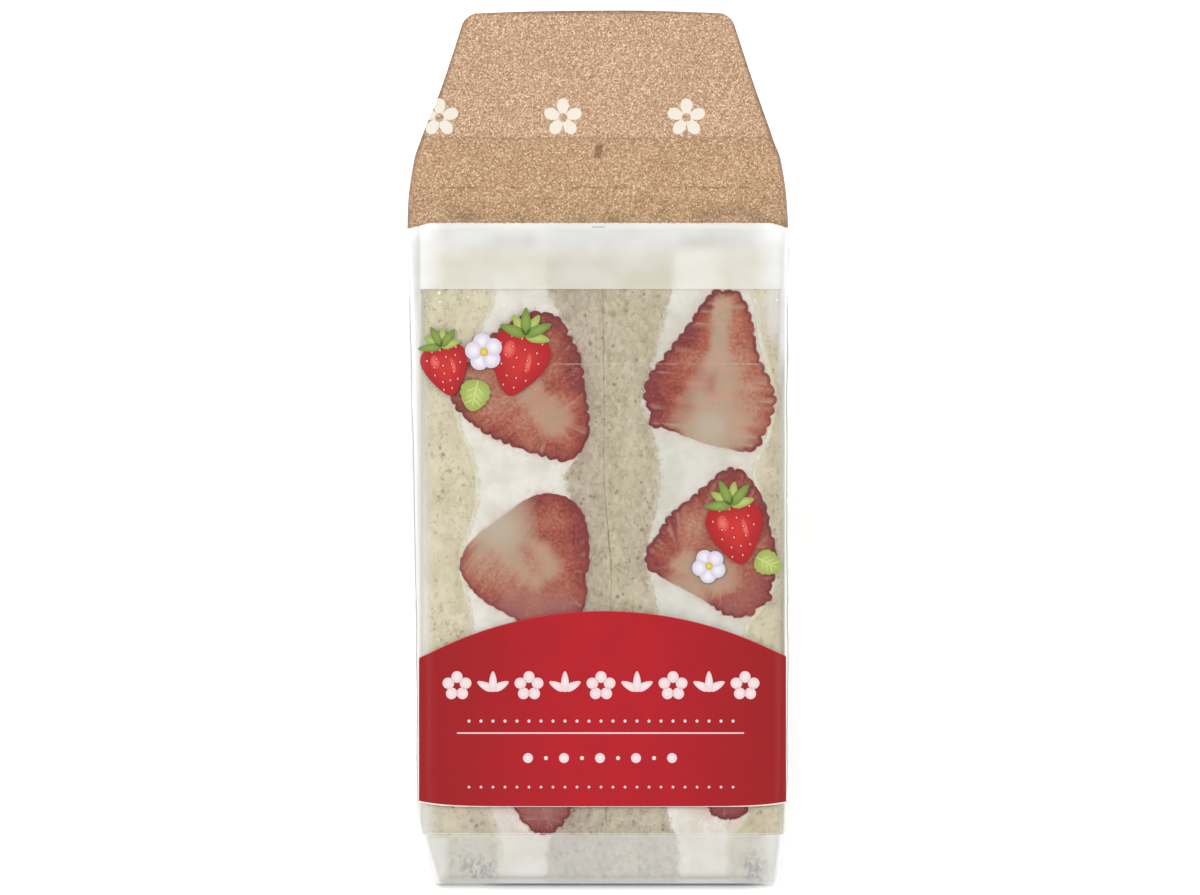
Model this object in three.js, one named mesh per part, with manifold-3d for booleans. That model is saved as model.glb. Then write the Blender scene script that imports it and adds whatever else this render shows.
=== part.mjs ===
// A film-wrapped pack of two triangular strawberry fruit sandwiches, in millimetres.
// The two halves stand side by side, cut faces to the front. The film is drawn up past
// their top corner, closed by a flat seal fin whose corners are folded to the back, and
// folded shut over the two triangular sides. A clear label is stuck on the front.
// Pack coordinates are s across the pack, u up the front panel, n out of the front panel.
// The pack rests on the panel under its lower leg, so the front panel leans back 45 degrees.
import * as THREE from "three";
import { mergeVertices } from "three/addons/utils/BufferGeometryUtils.js";
import Module from "manifold-3d";

const wasm = await Module();
wasm.setup();

// The wrapped triangle
const LEG = 106; // side of a crustless slice and the film round it
const HYP = LEG * Math.SQRT2; // height of the front panel's triangle
const TIP_ROUND = 2.2; // radius of the film at the sharp bottom corner
const BACK_ROUND = 6; // radius of the film at the right-angled corner
const EDGE_ROUND = 4; // radius of the film round the long side edges
const FOOT_TOP = 18; // u above which the side edges run almost straight

// The gathered top, above the sandwiches
const LEAN_START = 144; // u where the front film starts to lean back
const BRIDGE_START = 122; // u where the back film leaves the upper leg
const BRIDGE_END_SLOPE = 0.15; // how steeply the back film meets the seal line
const FIN_BASE = 168.2; // u of the seal line
const FIN_TOP = 196.7; // u of the fin's free edge at its middle
const FIN_THICK = 1.2; // sealed film layers
const FIN_LEAN = 0.35; // how far the fin falls back for each millimetre up
const FIN_CORNER = 3.4; // radius of the fin's top corners
const TOP_BOW = 0.5; // how much lower the fin's free edge is at its corners

// Slow waves of the unsupported film, as [height, radians for each millimetre, start]
const FILM_WAVES = [
  [0.9, 0.11, 0.6],
  [0.45, 0.27, -1.1],
];

// Distance from the middle plane to the film's left and right edge, as [u, distance]
const LEFT_EDGE = [
  [3, 36.2],
  [17.7, 40.2],
  [44, 40.6],
  [88, 41.2],
  [132, 42.3],
  [153, 43],
  [163.6, 41.3],
  [FIN_BASE, 39.5],
  [177.7, 35.5],
  [FIN_TOP, 29],
];
const RIGHT_EDGE = [
  [3, 39.7],
  [17.7, 41.2],
  [44, 41.7],
  [88, 41.5],
  [132, 41.6],
  [153, 41.7],
  [163.6, 40.1],
  [FIN_BASE, 38.1],
  [177.7, 34.4],
  [FIN_TOP, 28],
];

// The front panel's film folded over the sides, with its ends mitred at 45 degrees
const SIDE_FOLD_LOW = 18; // u of its lower end on the front edge
const SIDE_FOLD_HIGH = 134; // u of its upper end on the front edge
const SIDE_FOLD_DEPTH = 31; // how far it reaches across a side
const SIDE_FOLD_THICK = 0.6;

// The upper leg's film folded over the sides, under the front panel's
const LEG_FOLD_INSET = 8; // from the leg's edge to the fold's edge
const LEG_FOLD_BLUNT = 4; // width of its blunt lower corner
const LEG_FOLD_THICK = 0.35;
const LEG_FOLD_LAP = 1; // how far it reaches under the front panel's fold

// The fin's two corners folded to the back
const EAR_THICK = 0.5;
const EAR_FOOT = 10; // s of the folded corner's inner edge at the seal line
const EAR_HEAD = 19; // s of the same edge at its upper end
const EAR_INSET = 0.9; // from the fin's own edge
const EAR_RISE = 0.8; // above the seal line

const SUNK = 0.9; // how deep a folded layer is fused into the pack
const EAR_SUNK = 0.6;

// The clear label on the front
const LABEL_LEFT = -39.7;
const LABEL_RIGHT = 40.8;
const LABEL_BOTTOM = 14.6;
const LABEL_TOP = 134.7;
const LABEL_CORNER = 1.6;
const LABEL_THICK = 0.35;
const LABEL_GAP = 0.3;

// How finely the forms are divided
const FLAT_STEPS = 12;
const SIDE_STEPS = 3;
const ARC_STEPS = 4;
const LABEL_ACROSS = 18;
const LABEL_UP = 14;
const LABEL_CORNER_STEPS = 3;

const FILM_COLOUR = 0xe9e4d6;
const LABEL_COLOUR = 0xb92b34;

// Smooth value at a place along a list of [place, value] pairs
function along(pairs, at) {
  const last = pairs.length - 1;
  if (at <= pairs[0][0]) return pairs[0][1];
  if (at >= pairs[last][0]) return pairs[last][1];
  const next = pairs.findIndex(([place]) => place >= at);
  const [x0, y0] = pairs[next - 1];
  const [x1, y1] = pairs[next];
  const slope = (i) => {
    const [xa, ya] = pairs[Math.max(i - 1, 0)];
    const [xb, yb] = pairs[Math.min(i + 1, last)];
    return (yb - ya) / (xb - xa);
  };
  return hermite(x0, y0, slope(next - 1), x1, y1, slope(next), at);
}

// Cubic through (x0, y0) and (x1, y1) with the given end slopes
function hermite(x0, y0, slope0, x1, y1, slope1, at) {
  const span = x1 - x0;
  const t = (at - x0) / span;
  const t2 = t * t;
  const t3 = t2 * t;
  return (
    (2 * t3 - 3 * t2 + 1) * y0 +
    (t3 - 2 * t2 + t) * span * slope0 +
    (3 * t2 - 2 * t3) * y1 +
    (t3 - t2) * span * slope1
  );
}

// Where the round at the bottom corner meets the front panel, along either panel
const TIP_RUN = TIP_ROUND / Math.tan(Math.PI / 8);
const TIP_LOW = TIP_RUN - TIP_ROUND; // u of the lowest point of the round

function tipHalf(u) {
  return Math.sqrt(Math.max(TIP_ROUND ** 2 - (TIP_RUN - u) ** 2, 0));
}

// n of the front film at the middle of the pack
function frontAt(u) {
  const lean = FIN_LEAN * (FIN_BASE - LEAN_START) * 0.5;
  if (u < TIP_RUN) return tipHalf(u) - TIP_ROUND;
  if (u < LEAN_START) return 0;
  if (u < FIN_BASE) return -lean * ((u - LEAN_START) / (FIN_BASE - LEAN_START)) ** 2;
  return -lean - FIN_LEAN * (u - FIN_BASE);
}

// n of the back film at the middle of the pack
function backAt(u) {
  const round = BACK_ROUND / Math.SQRT2;
  if (u < TIP_RUN / Math.SQRT2) return -TIP_ROUND - tipHalf(u);
  if (Math.abs(u - HYP / 2) < round) {
    const centre = -HYP / 2 + BACK_ROUND * Math.SQRT2;
    return centre - Math.sqrt(BACK_ROUND ** 2 - (u - HYP / 2) ** 2);
  }
  if (u < HYP / 2) return -u;
  if (u < BRIDGE_START) return u - HYP;
  if (u < FIN_BASE) {
    const end = frontAt(FIN_BASE) - FIN_THICK;
    return hermite(BRIDGE_START, BRIDGE_START - HYP, 1, FIN_BASE, end, BRIDGE_END_SLOPE, u);
  }
  return frontAt(u) - FIN_THICK;
}

// How much the fin's rounded corners take off its half width
function cornerCut(u) {
  const start = FIN_TOP - TOP_BOW - FIN_CORNER;
  if (u <= start) return 0;
  const rise = Math.min(u - start, FIN_CORNER);
  return FIN_CORNER - Math.sqrt(FIN_CORNER ** 2 - rise ** 2);
}

const leftAt = (u) => -(along(LEFT_EDGE, u) - cornerCut(u));
const rightAt = (u) => along(RIGHT_EDGE, u) - cornerCut(u);

// n that the slow waves add, which grow above the sandwiches
function waveAt(s, u) {
  const free = THREE.MathUtils.smoothstep(u, LEAN_START, FIN_TOP);
  const waves = FILM_WAVES.map(([height, rate, start]) => height * Math.sin(s * rate + start));
  return free * waves.reduce((sum, wave) => sum + wave, 0);
}

// Radius of the film's side edges, which flatten out into the fin
function roundAt(u) {
  return Math.min(EDGE_ROUND, 0.48 * (frontAt(u) - backAt(u)));
}

// How far the film has turned back at s, where it goes round a side edge
function edgeDrop(s, u) {
  const round = roundAt(u);
  const past = Math.max(s - (rightAt(u) - round), leftAt(u) + round - s, 0);
  return round - Math.sqrt(Math.max(round ** 2 - past ** 2, 0));
}

// Front and back film as surfaces over (s, u), and the side film over (n, u)
const frontSurface = (s, u) =>
  new THREE.Vector3(s, u, frontAt(u) - edgeDrop(s, u) + waveAt(s, u));
const backSurface = (s, u) =>
  new THREE.Vector3(s, u, backAt(u) + edgeDrop(s, u) + waveAt(s, u));
const leftSurface = (n, u) => new THREE.Vector3(leftAt(u), u, n);
const rightSurface = (n, u) => new THREE.Vector3(rightAt(u), u, n);

// One closed ring of the film at height u: front right corner, front, left side, back, right side
function ringAt(u) {
  const round = roundAt(u);
  const left = leftAt(u);
  const right = rightAt(u);
  const front = frontAt(u);
  const back = backAt(u);
  const ring = [];
  const arc = (s, n, from) => {
    for (let i = 0; i <= ARC_STEPS; i += 1) {
      const angle = from + (i / ARC_STEPS) * (Math.PI / 2);
      ring.push([s + round * Math.cos(angle), n + round * Math.sin(angle)]);
    }
  };
  const run = (s0, n0, s1, n1, steps) => {
    for (let i = 1; i < steps; i += 1) {
      const t = i / steps;
      ring.push([s0 + (s1 - s0) * t, n0 + (n1 - n0) * t]);
    }
  };
  arc(right - round, front - round, 0);
  run(right - round, front, left + round, front, FLAT_STEPS);
  arc(left + round, front - round, Math.PI / 2);
  run(left, front - round, left, back + round, SIDE_STEPS);
  arc(left + round, back + round, Math.PI);
  run(left + round, back, right - round, back, FLAT_STEPS);
  arc(right - round, back + round, 1.5 * Math.PI);
  run(right, back + round, right, front - round, SIDE_STEPS);
  return ring.map(([s, n]) => {
    const bow = TOP_BOW * (s / rightAt(FIN_BASE)) ** 2;
    const share = Math.max((u - FIN_BASE) / (FIN_TOP - FIN_BASE), 0);
    return new THREE.Vector3(s, u - bow * share, n + waveAt(s, u));
  });
}

// Heights of the rings, as [u, steps up to the next one]: closer where the form turns
function ringHeights() {
  const round = BACK_ROUND / Math.SQRT2;
  const stations = [
    [TIP_LOW + 0.08, 1],
    [TIP_LOW + 0.45, 1],
    [TIP_RUN / Math.SQRT2, 1],
    [TIP_RUN, 3],
    [FOOT_TOP, 6],
    [HYP / 2 - round, 4],
    [HYP / 2 + round, 6],
    [BRIDGE_START, 4],
    [LEAN_START, 8],
    [FIN_BASE, 6],
    [FIN_TOP - FIN_CORNER, 4],
    [FIN_TOP - 0.6, 1],
    [FIN_TOP, 1],
  ];
  return stations.flatMap(([u, steps], i) => {
    const next = stations[Math.min(i + 1, stations.length - 1)][0];
    return Array.from({ length: steps }, (_, k) => u + ((next - u) * k) / steps);
  });
}

function indexed(points, faces) {
  const geometry = new THREE.BufferGeometry().setFromPoints(points);
  geometry.setIndex(faces);
  return geometry;
}

// A closed geometry from rings: walls between them, and each end ring's front joined to its back
function loft(rings) {
  const count = rings[0].length;
  const faces = [];
  const quad = (a, b, c, d) => faces.push(a, b, c, a, c, d);
  for (let i = 0; i + 1 < rings.length; i += 1) {
    for (let k = 0; k < count; k += 1) {
      const next = (k + 1) % count;
      quad(i * count + k, (i + 1) * count + k, (i + 1) * count + next, i * count + next);
    }
  }
  const opposite = count - SIDE_STEPS; // a front point and the back point across from it add up to this
  const leftmost = (opposite - 1) / 2;
  const top = (rings.length - 1) * count;
  for (let k = -1; k < leftmost; k += 1) {
    const [a, b, c, d] = [k, k + 1, opposite - k - 1, opposite - k].map((i) => (i + count) % count);
    quad(a, b, c, d);
    quad(top + d, top + c, top + b, top + a);
  }
  return indexed(rings.flat(), faces);
}

// A layer of film on a surface: a grid of surface positions, from lift to lift + thick above it
function layer(rows, surface, outward, lift, thick) {
  const across = rows[0].length;
  const step = 0.01;
  const lifted = (amount) =>
    rows.flat().map(([a, b]) => {
      const here = surface(a, b);
      const alongA = surface(a + step, b).sub(here);
      const alongB = surface(a, b + step).sub(here);
      const normal = alongA.cross(alongB).normalize();
      if (normal.dot(outward) < 0) normal.negate();
      return here.addScaledVector(normal, amount);
    });
  const points = [...lifted(lift), ...lifted(lift + thick)];
  const half = rows.length * across;
  const faces = [];
  const quad = (a, b, c, d) => faces.push(a, b, c, a, c, d);
  for (let i = 0; i + 1 < rows.length; i += 1) {
    for (let k = 0; k + 1 < across; k += 1) {
      const a = i * across + k;
      quad(half + a, half + a + 1, half + a + across + 1, half + a + across);
      quad(a, a + across, a + across + 1, a + 1);
    }
  }
  const rim = [];
  for (let k = 0; k < across; k += 1) rim.push(k);
  for (let i = 1; i < rows.length; i += 1) rim.push(i * across + across - 1);
  for (let k = across - 2; k >= 0; k -= 1) rim.push((rows.length - 1) * across + k);
  for (let i = rows.length - 2; i > 0; i -= 1) rim.push(i * across);
  rim.forEach((a, i) => {
    const b = rim[(i + 1) % rim.length];
    quad(a, b, half + b, half + a);
  });
  const geometry = indexed(points, faces);
  return signedVolume(geometry) < 0 ? turnedOut(geometry) : geometry;
}

function signedVolume(geometry) {
  const p = geometry.getAttribute("position");
  const corner = (i) => new THREE.Vector3().fromBufferAttribute(p, geometry.index.getX(i));
  let six = 0;
  for (let i = 0; i < geometry.index.count; i += 3) {
    six += corner(i).dot(corner(i + 1).cross(corner(i + 2)));
  }
  return six / 6;
}

function turnedOut(geometry) {
  const order = Array.from(geometry.index.array);
  for (let i = 0; i < order.length; i += 3) {
    [order[i + 1], order[i + 2]] = [order[i + 2], order[i + 1]];
  }
  return geometry.setIndex(order);
}

// A grid of positions between four corners, given in order round the patch
function patch(a, b, c, d, across, up) {
  const mix = (p, q, t) => [p[0] + (q[0] - p[0]) * t, p[1] + (q[1] - p[1]) * t];
  return Array.from({ length: up + 1 }, (_, i) =>
    Array.from({ length: across + 1 }, (_, k) =>
      mix(mix(a, b, k / across), mix(d, c, k / across), i / up),
    ),
  );
}

function toSolid(geometry) {
  const bare = geometry.clone();
  bare.deleteAttribute("normal");
  bare.deleteAttribute("uv");
  const merged = mergeVertices(bare, 1e-4);
  return new wasm.Manifold(
    new wasm.Mesh({
      numProp: 3,
      vertProperties: merged.attributes.position.array,
      triVerts: new Uint32Array(merged.index.array),
    }),
  );
}

function toGeometry(solid) {
  const mesh = solid.getMesh();
  const geometry = new THREE.BufferGeometry();
  geometry.setAttribute("position", new THREE.BufferAttribute(mesh.vertProperties, 3));
  geometry.setIndex(new THREE.BufferAttribute(mesh.triVerts, 1));
  geometry.computeVertexNormals();
  return geometry;
}

// The front panel's fold across one side, and the upper leg's fold under its edge
function sideFolds(surface, outward) {
  const front = -EDGE_ROUND;
  const deep = front - SIDE_FOLD_DEPTH;
  const fromFront = patch(
    [front, SIDE_FOLD_LOW],
    [front, SIDE_FOLD_HIGH],
    [deep, SIDE_FOLD_HIGH - SIDE_FOLD_DEPTH],
    [deep, SIDE_FOLD_LOW + SIDE_FOLD_DEPTH],
    10,
    1,
  );
  const onLegFold = (n) => [n, HYP + n - LEG_FOLD_INSET];
  const middle = HYP / 2;
  const fromLeg = patch(
    [deep + LEG_FOLD_LAP, middle],
    onLegFold(deep + LEG_FOLD_LAP),
    onLegFold(LEG_FOLD_INSET + LEG_FOLD_BLUNT - middle),
    [LEG_FOLD_INSET - middle, middle],
    4,
    1,
  );
  return [
    layer(fromFront, surface, outward, -SUNK, SUNK + SIDE_FOLD_THICK),
    layer(fromLeg, surface, outward, -SUNK, SUNK + LEG_FOLD_THICK),
  ];
}

// One corner of the fin folded to the back: side is -1 on the left and 1 on the right
function ear(side) {
  const edge = side < 0 ? leftAt : rightAt;
  const low = FIN_BASE + EAR_RISE;
  const high = FIN_TOP - FIN_CORNER - TOP_BOW;
  const rows = patch(
    [edge(low) - side * EAR_INSET, low],
    [side * EAR_FOOT, low],
    [side * EAR_HEAD, high],
    [edge(high) - side * EAR_INSET, high],
    6,
    4,
  );
  return layer(rows, backSurface, new THREE.Vector3(0, 0, -1), -EAR_SUNK, EAR_SUNK + EAR_THICK);
}

function packGeometry() {
  const left = new THREE.Vector3(-1, 0, 0);
  const right = new THREE.Vector3(1, 0, 0);
  const layers = [
    ...sideFolds(leftSurface, left),
    ...sideFolds(rightSurface, right),
    ear(-1),
    ear(1),
  ];
  const wrapped = toSolid(loft(ringHeights().map(ringAt)));
  return toGeometry(layers.reduce((whole, fold) => whole.add(toSolid(fold)), wrapped));
}

// One row of positions across the label, closer together at the ends
function labelRow(u, inset) {
  return Array.from({ length: LABEL_ACROSS + 1 }, (_, k) => {
    const t = 0.5 - 0.5 * Math.cos((Math.PI * k) / LABEL_ACROSS);
    return [LABEL_LEFT + inset + (LABEL_RIGHT - LABEL_LEFT - 2 * inset) * t, u];
  });
}

function labelGeometry() {
  const low = LABEL_BOTTOM + LABEL_CORNER;
  const high = LABEL_TOP - LABEL_CORNER;
  const turns = Array.from({ length: LABEL_CORNER_STEPS }, (_, i) => {
    const angle = (i / LABEL_CORNER_STEPS) * (Math.PI / 2);
    return [LABEL_CORNER * Math.cos(angle), LABEL_CORNER * (1 - Math.sin(angle))];
  });
  const straight = Array.from({ length: LABEL_UP + 1 }, (_, i) => low + ((high - low) * i) / LABEL_UP);
  const rows = [
    ...turns.map(([reach, inset]) => labelRow(low - reach, inset)),
    ...straight.map((u) => labelRow(u, 0)),
    ...turns.toReversed().map(([reach, inset]) => labelRow(high + reach, inset)),
  ];
  const front = new THREE.Vector3(0, 0, 1);
  return toGeometry(toSolid(layer(rows, frontSurface, front, LABEL_GAP, LABEL_THICK)));
}

function piece(name, geometry, material) {
  const mesh = new THREE.Mesh(geometry, new THREE.MeshStandardMaterial(material));
  mesh.name = name;
  return mesh;
}

// Turned back 45 degrees onto the lower leg, whose middle is the origin
const leaning = new THREE.Group();
leaning.rotation.x = Math.PI / 4;
leaning.position.y = -LEG / 2;
leaning.add(
  piece("pack", packGeometry(), { color: FILM_COLOUR, roughness: 0.45, metalness: 0 }),
  piece("front_label", labelGeometry(), {
    color: LABEL_COLOUR,
    roughness: 0.3,
    metalness: 0,
  }),
);

const sandwichPack = new THREE.Group();
sandwichPack.add(leaning);

export default sandwichPack;
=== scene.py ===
import itertools
import math

import bpy
import numpy as np
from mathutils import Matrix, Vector


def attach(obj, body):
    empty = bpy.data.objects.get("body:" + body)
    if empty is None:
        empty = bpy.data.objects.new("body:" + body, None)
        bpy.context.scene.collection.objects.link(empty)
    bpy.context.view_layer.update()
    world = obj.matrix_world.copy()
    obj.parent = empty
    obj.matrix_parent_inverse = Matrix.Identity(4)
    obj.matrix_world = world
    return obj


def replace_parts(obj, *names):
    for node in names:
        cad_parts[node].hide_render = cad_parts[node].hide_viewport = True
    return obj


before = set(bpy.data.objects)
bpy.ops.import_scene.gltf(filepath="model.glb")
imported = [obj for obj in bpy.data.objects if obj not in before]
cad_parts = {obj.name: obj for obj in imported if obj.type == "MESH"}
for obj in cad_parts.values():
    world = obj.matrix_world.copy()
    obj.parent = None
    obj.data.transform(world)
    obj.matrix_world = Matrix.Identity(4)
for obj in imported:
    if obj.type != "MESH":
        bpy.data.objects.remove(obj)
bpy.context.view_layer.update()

# The wrapped triangle, as in the construction
MM = 0.001
LEG = 106.0
HYP = LEG * math.sqrt(2)
TIP_ROUND = 2.2
BACK_ROUND = 6.0
EDGE_ROUND = 4.0
LEAN_START = 144.0
BRIDGE_START = 122.0
BRIDGE_END_SLOPE = 0.15
FIN_BASE = 168.2
FIN_TOP = 196.7
FIN_THICK = 1.2
FIN_LEAN = 0.35
FIN_CORNER = 2.5
TOP_BOW = 1.1
FILM_WAVES = [(0.9, 0.11, 0.6), (0.45, 0.27, -1.1)]
LEFT_EDGE = [
    (3, 36.2), (17.7, 40.2), (44, 40.6), (88, 41.2), (132, 42.3),
    (153, 42.7), (163.6, 41.2), (FIN_BASE, 39.5), (177.7, 35.8), (FIN_TOP, 29.8),
]
RIGHT_EDGE = [
    (3, 39.7), (17.7, 41.2), (44, 41.7), (88, 41.5), (132, 41.6),
    (153, 41.6), (163.6, 40.1), (FIN_BASE, 38.2), (177.7, 35.0), (FIN_TOP, 29),
]
SIDE_FOLD_LOW = 18.0
SIDE_FOLD_HIGH = 134.0
SIDE_FOLD_DEPTH = 31.0
LEG_FOLD_INSET = 8.0
LEG_FOLD_BLUNT = 4.0
FIN_FOLD_INSET = 0.9
FIN_FOLD_LOW_S = 10.0
FIN_FOLD_HIGH_S = 19.0
LABEL_LEFT = -39.7
LABEL_RIGHT = 40.8
LABEL_BOTTOM = 14.6
LABEL_TOP = 134.7
LABEL_CORNER = 1.6
LABEL_BACK = 0.08
LABEL_FACE = 0.42
LABEL_CREASE_U = 118.2

# The printed top, and how its lower edge dips towards the sides
KRAFT_BASE = 149.3
KRAFT_DIP = 1.2
KRAFT_DIP_FROM = 36.8
KRAFT_DIP_TO = 42.8

# The sandwiches inside the film
SLICE_FRONT = -0.42
SLICE_LEG_GAP = 0.35
SLICE_TIP_ROUND = 2.1
SLICE_TIP_RUN = SLICE_TIP_ROUND / math.tan(math.pi / 8)
SLICE_BACK_ROUND = 6.0
LEFT_FACE = -40.0
RIGHT_FACE = 40.8
FACE_GAP = 0.6
OUTER_CORNER = 3.2
JOINT_CORNER = 0.14
SHARP = 0.01
UNROUNDED = (SHARP, SHARP)
JOINT = 1.2
FILLING_LEG_GAP = 0.8
BERRY_FRONT = -0.13
SEAM_DEPTH = 26.0
TIP_ROWS = 12

# The photo's scale: millimetres for each pixel, and the pixels of s = 0 and of the lowest edge
PHOTO_SCALE = 0.2205
PHOTO_MIDDLE = 600.0
PHOTO_FOOT = 886.0
FOOT_U = 3.1
PHOTO_WIDTH = 1200
PHOTO_HEIGHT = 895


def from_photo(x, y):
    """(s, u) on the front panel of a pixel of the photo."""
    return (x - PHOTO_MIDDLE) * PHOTO_SCALE, FOOT_U + (PHOTO_FOOT - y) * PHOTO_SCALE


def distance_from(x, y, points):
    """Distance of each (s, u) point from a pixel of the photo."""
    return np.linalg.norm(points - from_photo(x, y), axis=1)


def to_world(points):
    """Pack coordinates in millimetres to the row frame in metres."""
    s, u, n = np.asarray(points, float).T
    turn = math.sqrt(0.5)
    return np.column_stack([s, turn * (u - n) - LEG / 2, turn * (u + n)]) * MM


# Curves and noise


def stacked(*parts):
    """Coordinates side by side as points, each stretched to the largest of their shapes."""
    return np.stack(np.broadcast_arrays(*parts), -1)


def along(pairs, at):
    """Smooth value at places along a list of (place, value) pairs."""
    xs, ys = np.array(pairs, float).T
    slopes = np.empty_like(ys)
    slopes[1:-1] = (ys[2:] - ys[:-2]) / (xs[2:] - xs[:-2])
    slopes[0] = (ys[1] - ys[0]) / (xs[1] - xs[0])
    slopes[-1] = (ys[-1] - ys[-2]) / (xs[-1] - xs[-2])
    at = np.clip(at, xs[0], xs[-1])
    i = np.clip(np.searchsorted(xs, at, side="right") - 1, 0, len(xs) - 2)
    span = xs[i + 1] - xs[i]
    return hermite(ys[i], slopes[i], ys[i + 1], slopes[i + 1], (at - xs[i]) / span, span)


def hermite(y0, slope0, y1, slope1, t, span):
    """Cubic from y0 to y1 with the given end slopes."""
    t2, t3 = t**2, t**3
    ends = (2 * t3 - 3 * t2 + 1) * y0 + (3 * t2 - 2 * t3) * y1
    return ends + span * ((t3 - 2 * t2 + t) * slope0 + (t3 - t2) * slope1)


def smooth(low, high, x):
    """0 below low, 1 above high and eased between; low may be the higher one."""
    t = np.clip((x - low) / (high - low), 0, 1)
    return t * t * (3 - 2 * t)


def circle_height(radius, off):
    """Height of a circle over its middle at a distance off to the side, 0 beyond its reach."""
    return np.sqrt(np.maximum(radius**2 - off**2, 0))


def noise(points, seed):
    """Smooth noise from -1 to 1 at points, one wave about every unit."""
    points = np.asarray(points, float)
    cell = np.floor(points).astype(np.int64)
    ease = points - cell
    ease = ease * ease * (3 - 2 * ease)
    total = 0.0
    for corner in itertools.product((0, 1), repeat=3):
        a, b, c = ((cell + corner)[..., i] for i in range(3))
        mixed = (a * 73856093) ^ (b * 19349663) ^ (c * 83492791) ^ (seed * 2654435761)
        mixed = ((mixed ^ (mixed >> 13)) * 1274126177) & 0xFFFFFF
        weight = np.prod(np.where(corner, ease, 1 - ease), axis=-1)
        total = total + (mixed / 0x7FFFFF - 1) * weight
    return total


def closed_curve(corners, count, fineness=24):
    """count points evenly along a smooth closed curve through the corners."""
    p = np.array(corners, float)
    t = np.linspace(0, 1, fineness, endpoint=False)[:, None]
    runs = []
    for i in range(len(p)):
        before, a, b, after = p[i - 1], p[i], p[(i + 1) % len(p)], p[(i + 2) % len(p)]
        runs.append(hermite(a, (b - before) / 2, b, (after - a) / 2, t, 1))
    line = np.concatenate(runs)
    steps = np.linalg.norm(np.roll(line, -1, 0) - line, axis=1)
    reach = np.concatenate([[0], np.cumsum(steps)])
    at = np.linspace(0, reach[-1], count, endpoint=False)
    ring = np.vstack([line, line[:1]])
    return np.column_stack([np.interp(at, reach, ring[:, i]) for i in (0, 1)])


def edge_distance(points, outline, batch=4000):
    """Distance of each (s, u) point from a closed outline, below zero inside it."""
    a = outline
    b = np.roll(outline, -1, 0)
    found = []
    for part in np.array_split(points, max(1, len(points) // batch)):
        p = part[:, None, :]
        t = np.clip(((p - a) * (b - a)).sum(-1) / ((b - a) ** 2).sum(-1), 0, 1)
        gap = np.linalg.norm(p - a - (b - a) * t[..., None], axis=-1).min(1)
        crosses = (a[:, 1] > p[..., 1]) != (b[:, 1] > p[..., 1])
        rise = np.where(b[:, 1] == a[:, 1], 1, b[:, 1] - a[:, 1])
        at = a[:, 0] + (p[..., 1] - a[:, 1]) * (b[:, 0] - a[:, 0]) / rise
        inside = (crosses & (p[..., 0] < at)).sum(1) % 2 == 1
        found.append(np.where(inside, -gap, gap))
    return np.concatenate(found)


def segment_gap(points, start, end):
    """Share along a segment, offset from it and distance to it of each (s, u) point."""
    a, b = np.array(start, float), np.array(end, float)
    t = np.clip(((points - a) @ (b - a)) / ((b - a) ** 2).sum(), 0, 1)
    off = points - (a + (b - a) * t[:, None])
    return t, off, np.linalg.norm(off, axis=1)


# The film's form

TIP_RUN = TIP_ROUND / math.tan(math.pi / 8)
TIP_LOW = TIP_RUN - TIP_ROUND


def front_at(u):
    """n of the front film at the middle of the pack."""
    u = np.asarray(u, float)
    tip = circle_height(TIP_ROUND, TIP_RUN - u) - TIP_ROUND
    lean = FIN_LEAN * (FIN_BASE - LEAN_START) * 0.5
    leaning = -lean * ((u - LEAN_START) / (FIN_BASE - LEAN_START)) ** 2
    places = [u < TIP_RUN, u < LEAN_START, u < FIN_BASE]
    return np.select(places, [tip, 0 * u, leaning], -lean - FIN_LEAN * (u - FIN_BASE))


def back_at(u):
    """n of the back film at the middle of the pack."""
    u = np.asarray(u, float)
    tip = -TIP_ROUND - circle_height(TIP_ROUND, TIP_RUN - u)
    centre = -HYP / 2 + BACK_ROUND * math.sqrt(2)
    corner = centre - circle_height(BACK_ROUND, u - HYP / 2)
    end = front_at(FIN_BASE) - FIN_THICK
    share = np.clip((u - BRIDGE_START) / (FIN_BASE - BRIDGE_START), 0, 1)
    span = FIN_BASE - BRIDGE_START
    bridge = hermite(BRIDGE_START - HYP, 1, end, BRIDGE_END_SLOPE, share, span)
    places = [
        u < TIP_RUN / math.sqrt(2),
        np.abs(u - HYP / 2) < BACK_ROUND / math.sqrt(2),
        u < HYP / 2,
        u < BRIDGE_START,
        u < FIN_BASE,
    ]
    return np.select(places, [tip, corner, -u, u - HYP, bridge], front_at(u) - FIN_THICK)


def corner_cut(u):
    rise = np.clip(u - (FIN_TOP - FIN_CORNER), 0, FIN_CORNER)
    return FIN_CORNER - circle_height(FIN_CORNER, rise)


def left_at(u):
    return -(along(LEFT_EDGE, u) - corner_cut(u))


def right_at(u):
    return along(RIGHT_EDGE, u) - corner_cut(u)


def wave_at(s, u):
    """n that the slow waves of the free film add above the sandwiches."""
    waves = sum(height * np.sin(s * rate + start) for height, rate, start in FILM_WAVES)
    return smooth(LEAN_START, FIN_TOP, u) * waves


def round_at(u):
    return np.minimum(EDGE_ROUND, 0.48 * (front_at(u) - back_at(u)))


def edge_drop(s, u):
    """How far the film has turned back at s, where it goes round a side edge."""
    r = round_at(u)
    past = np.maximum(np.maximum(s - (right_at(u) - r), left_at(u) + r - s), 0)
    return r - circle_height(r, past)


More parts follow.
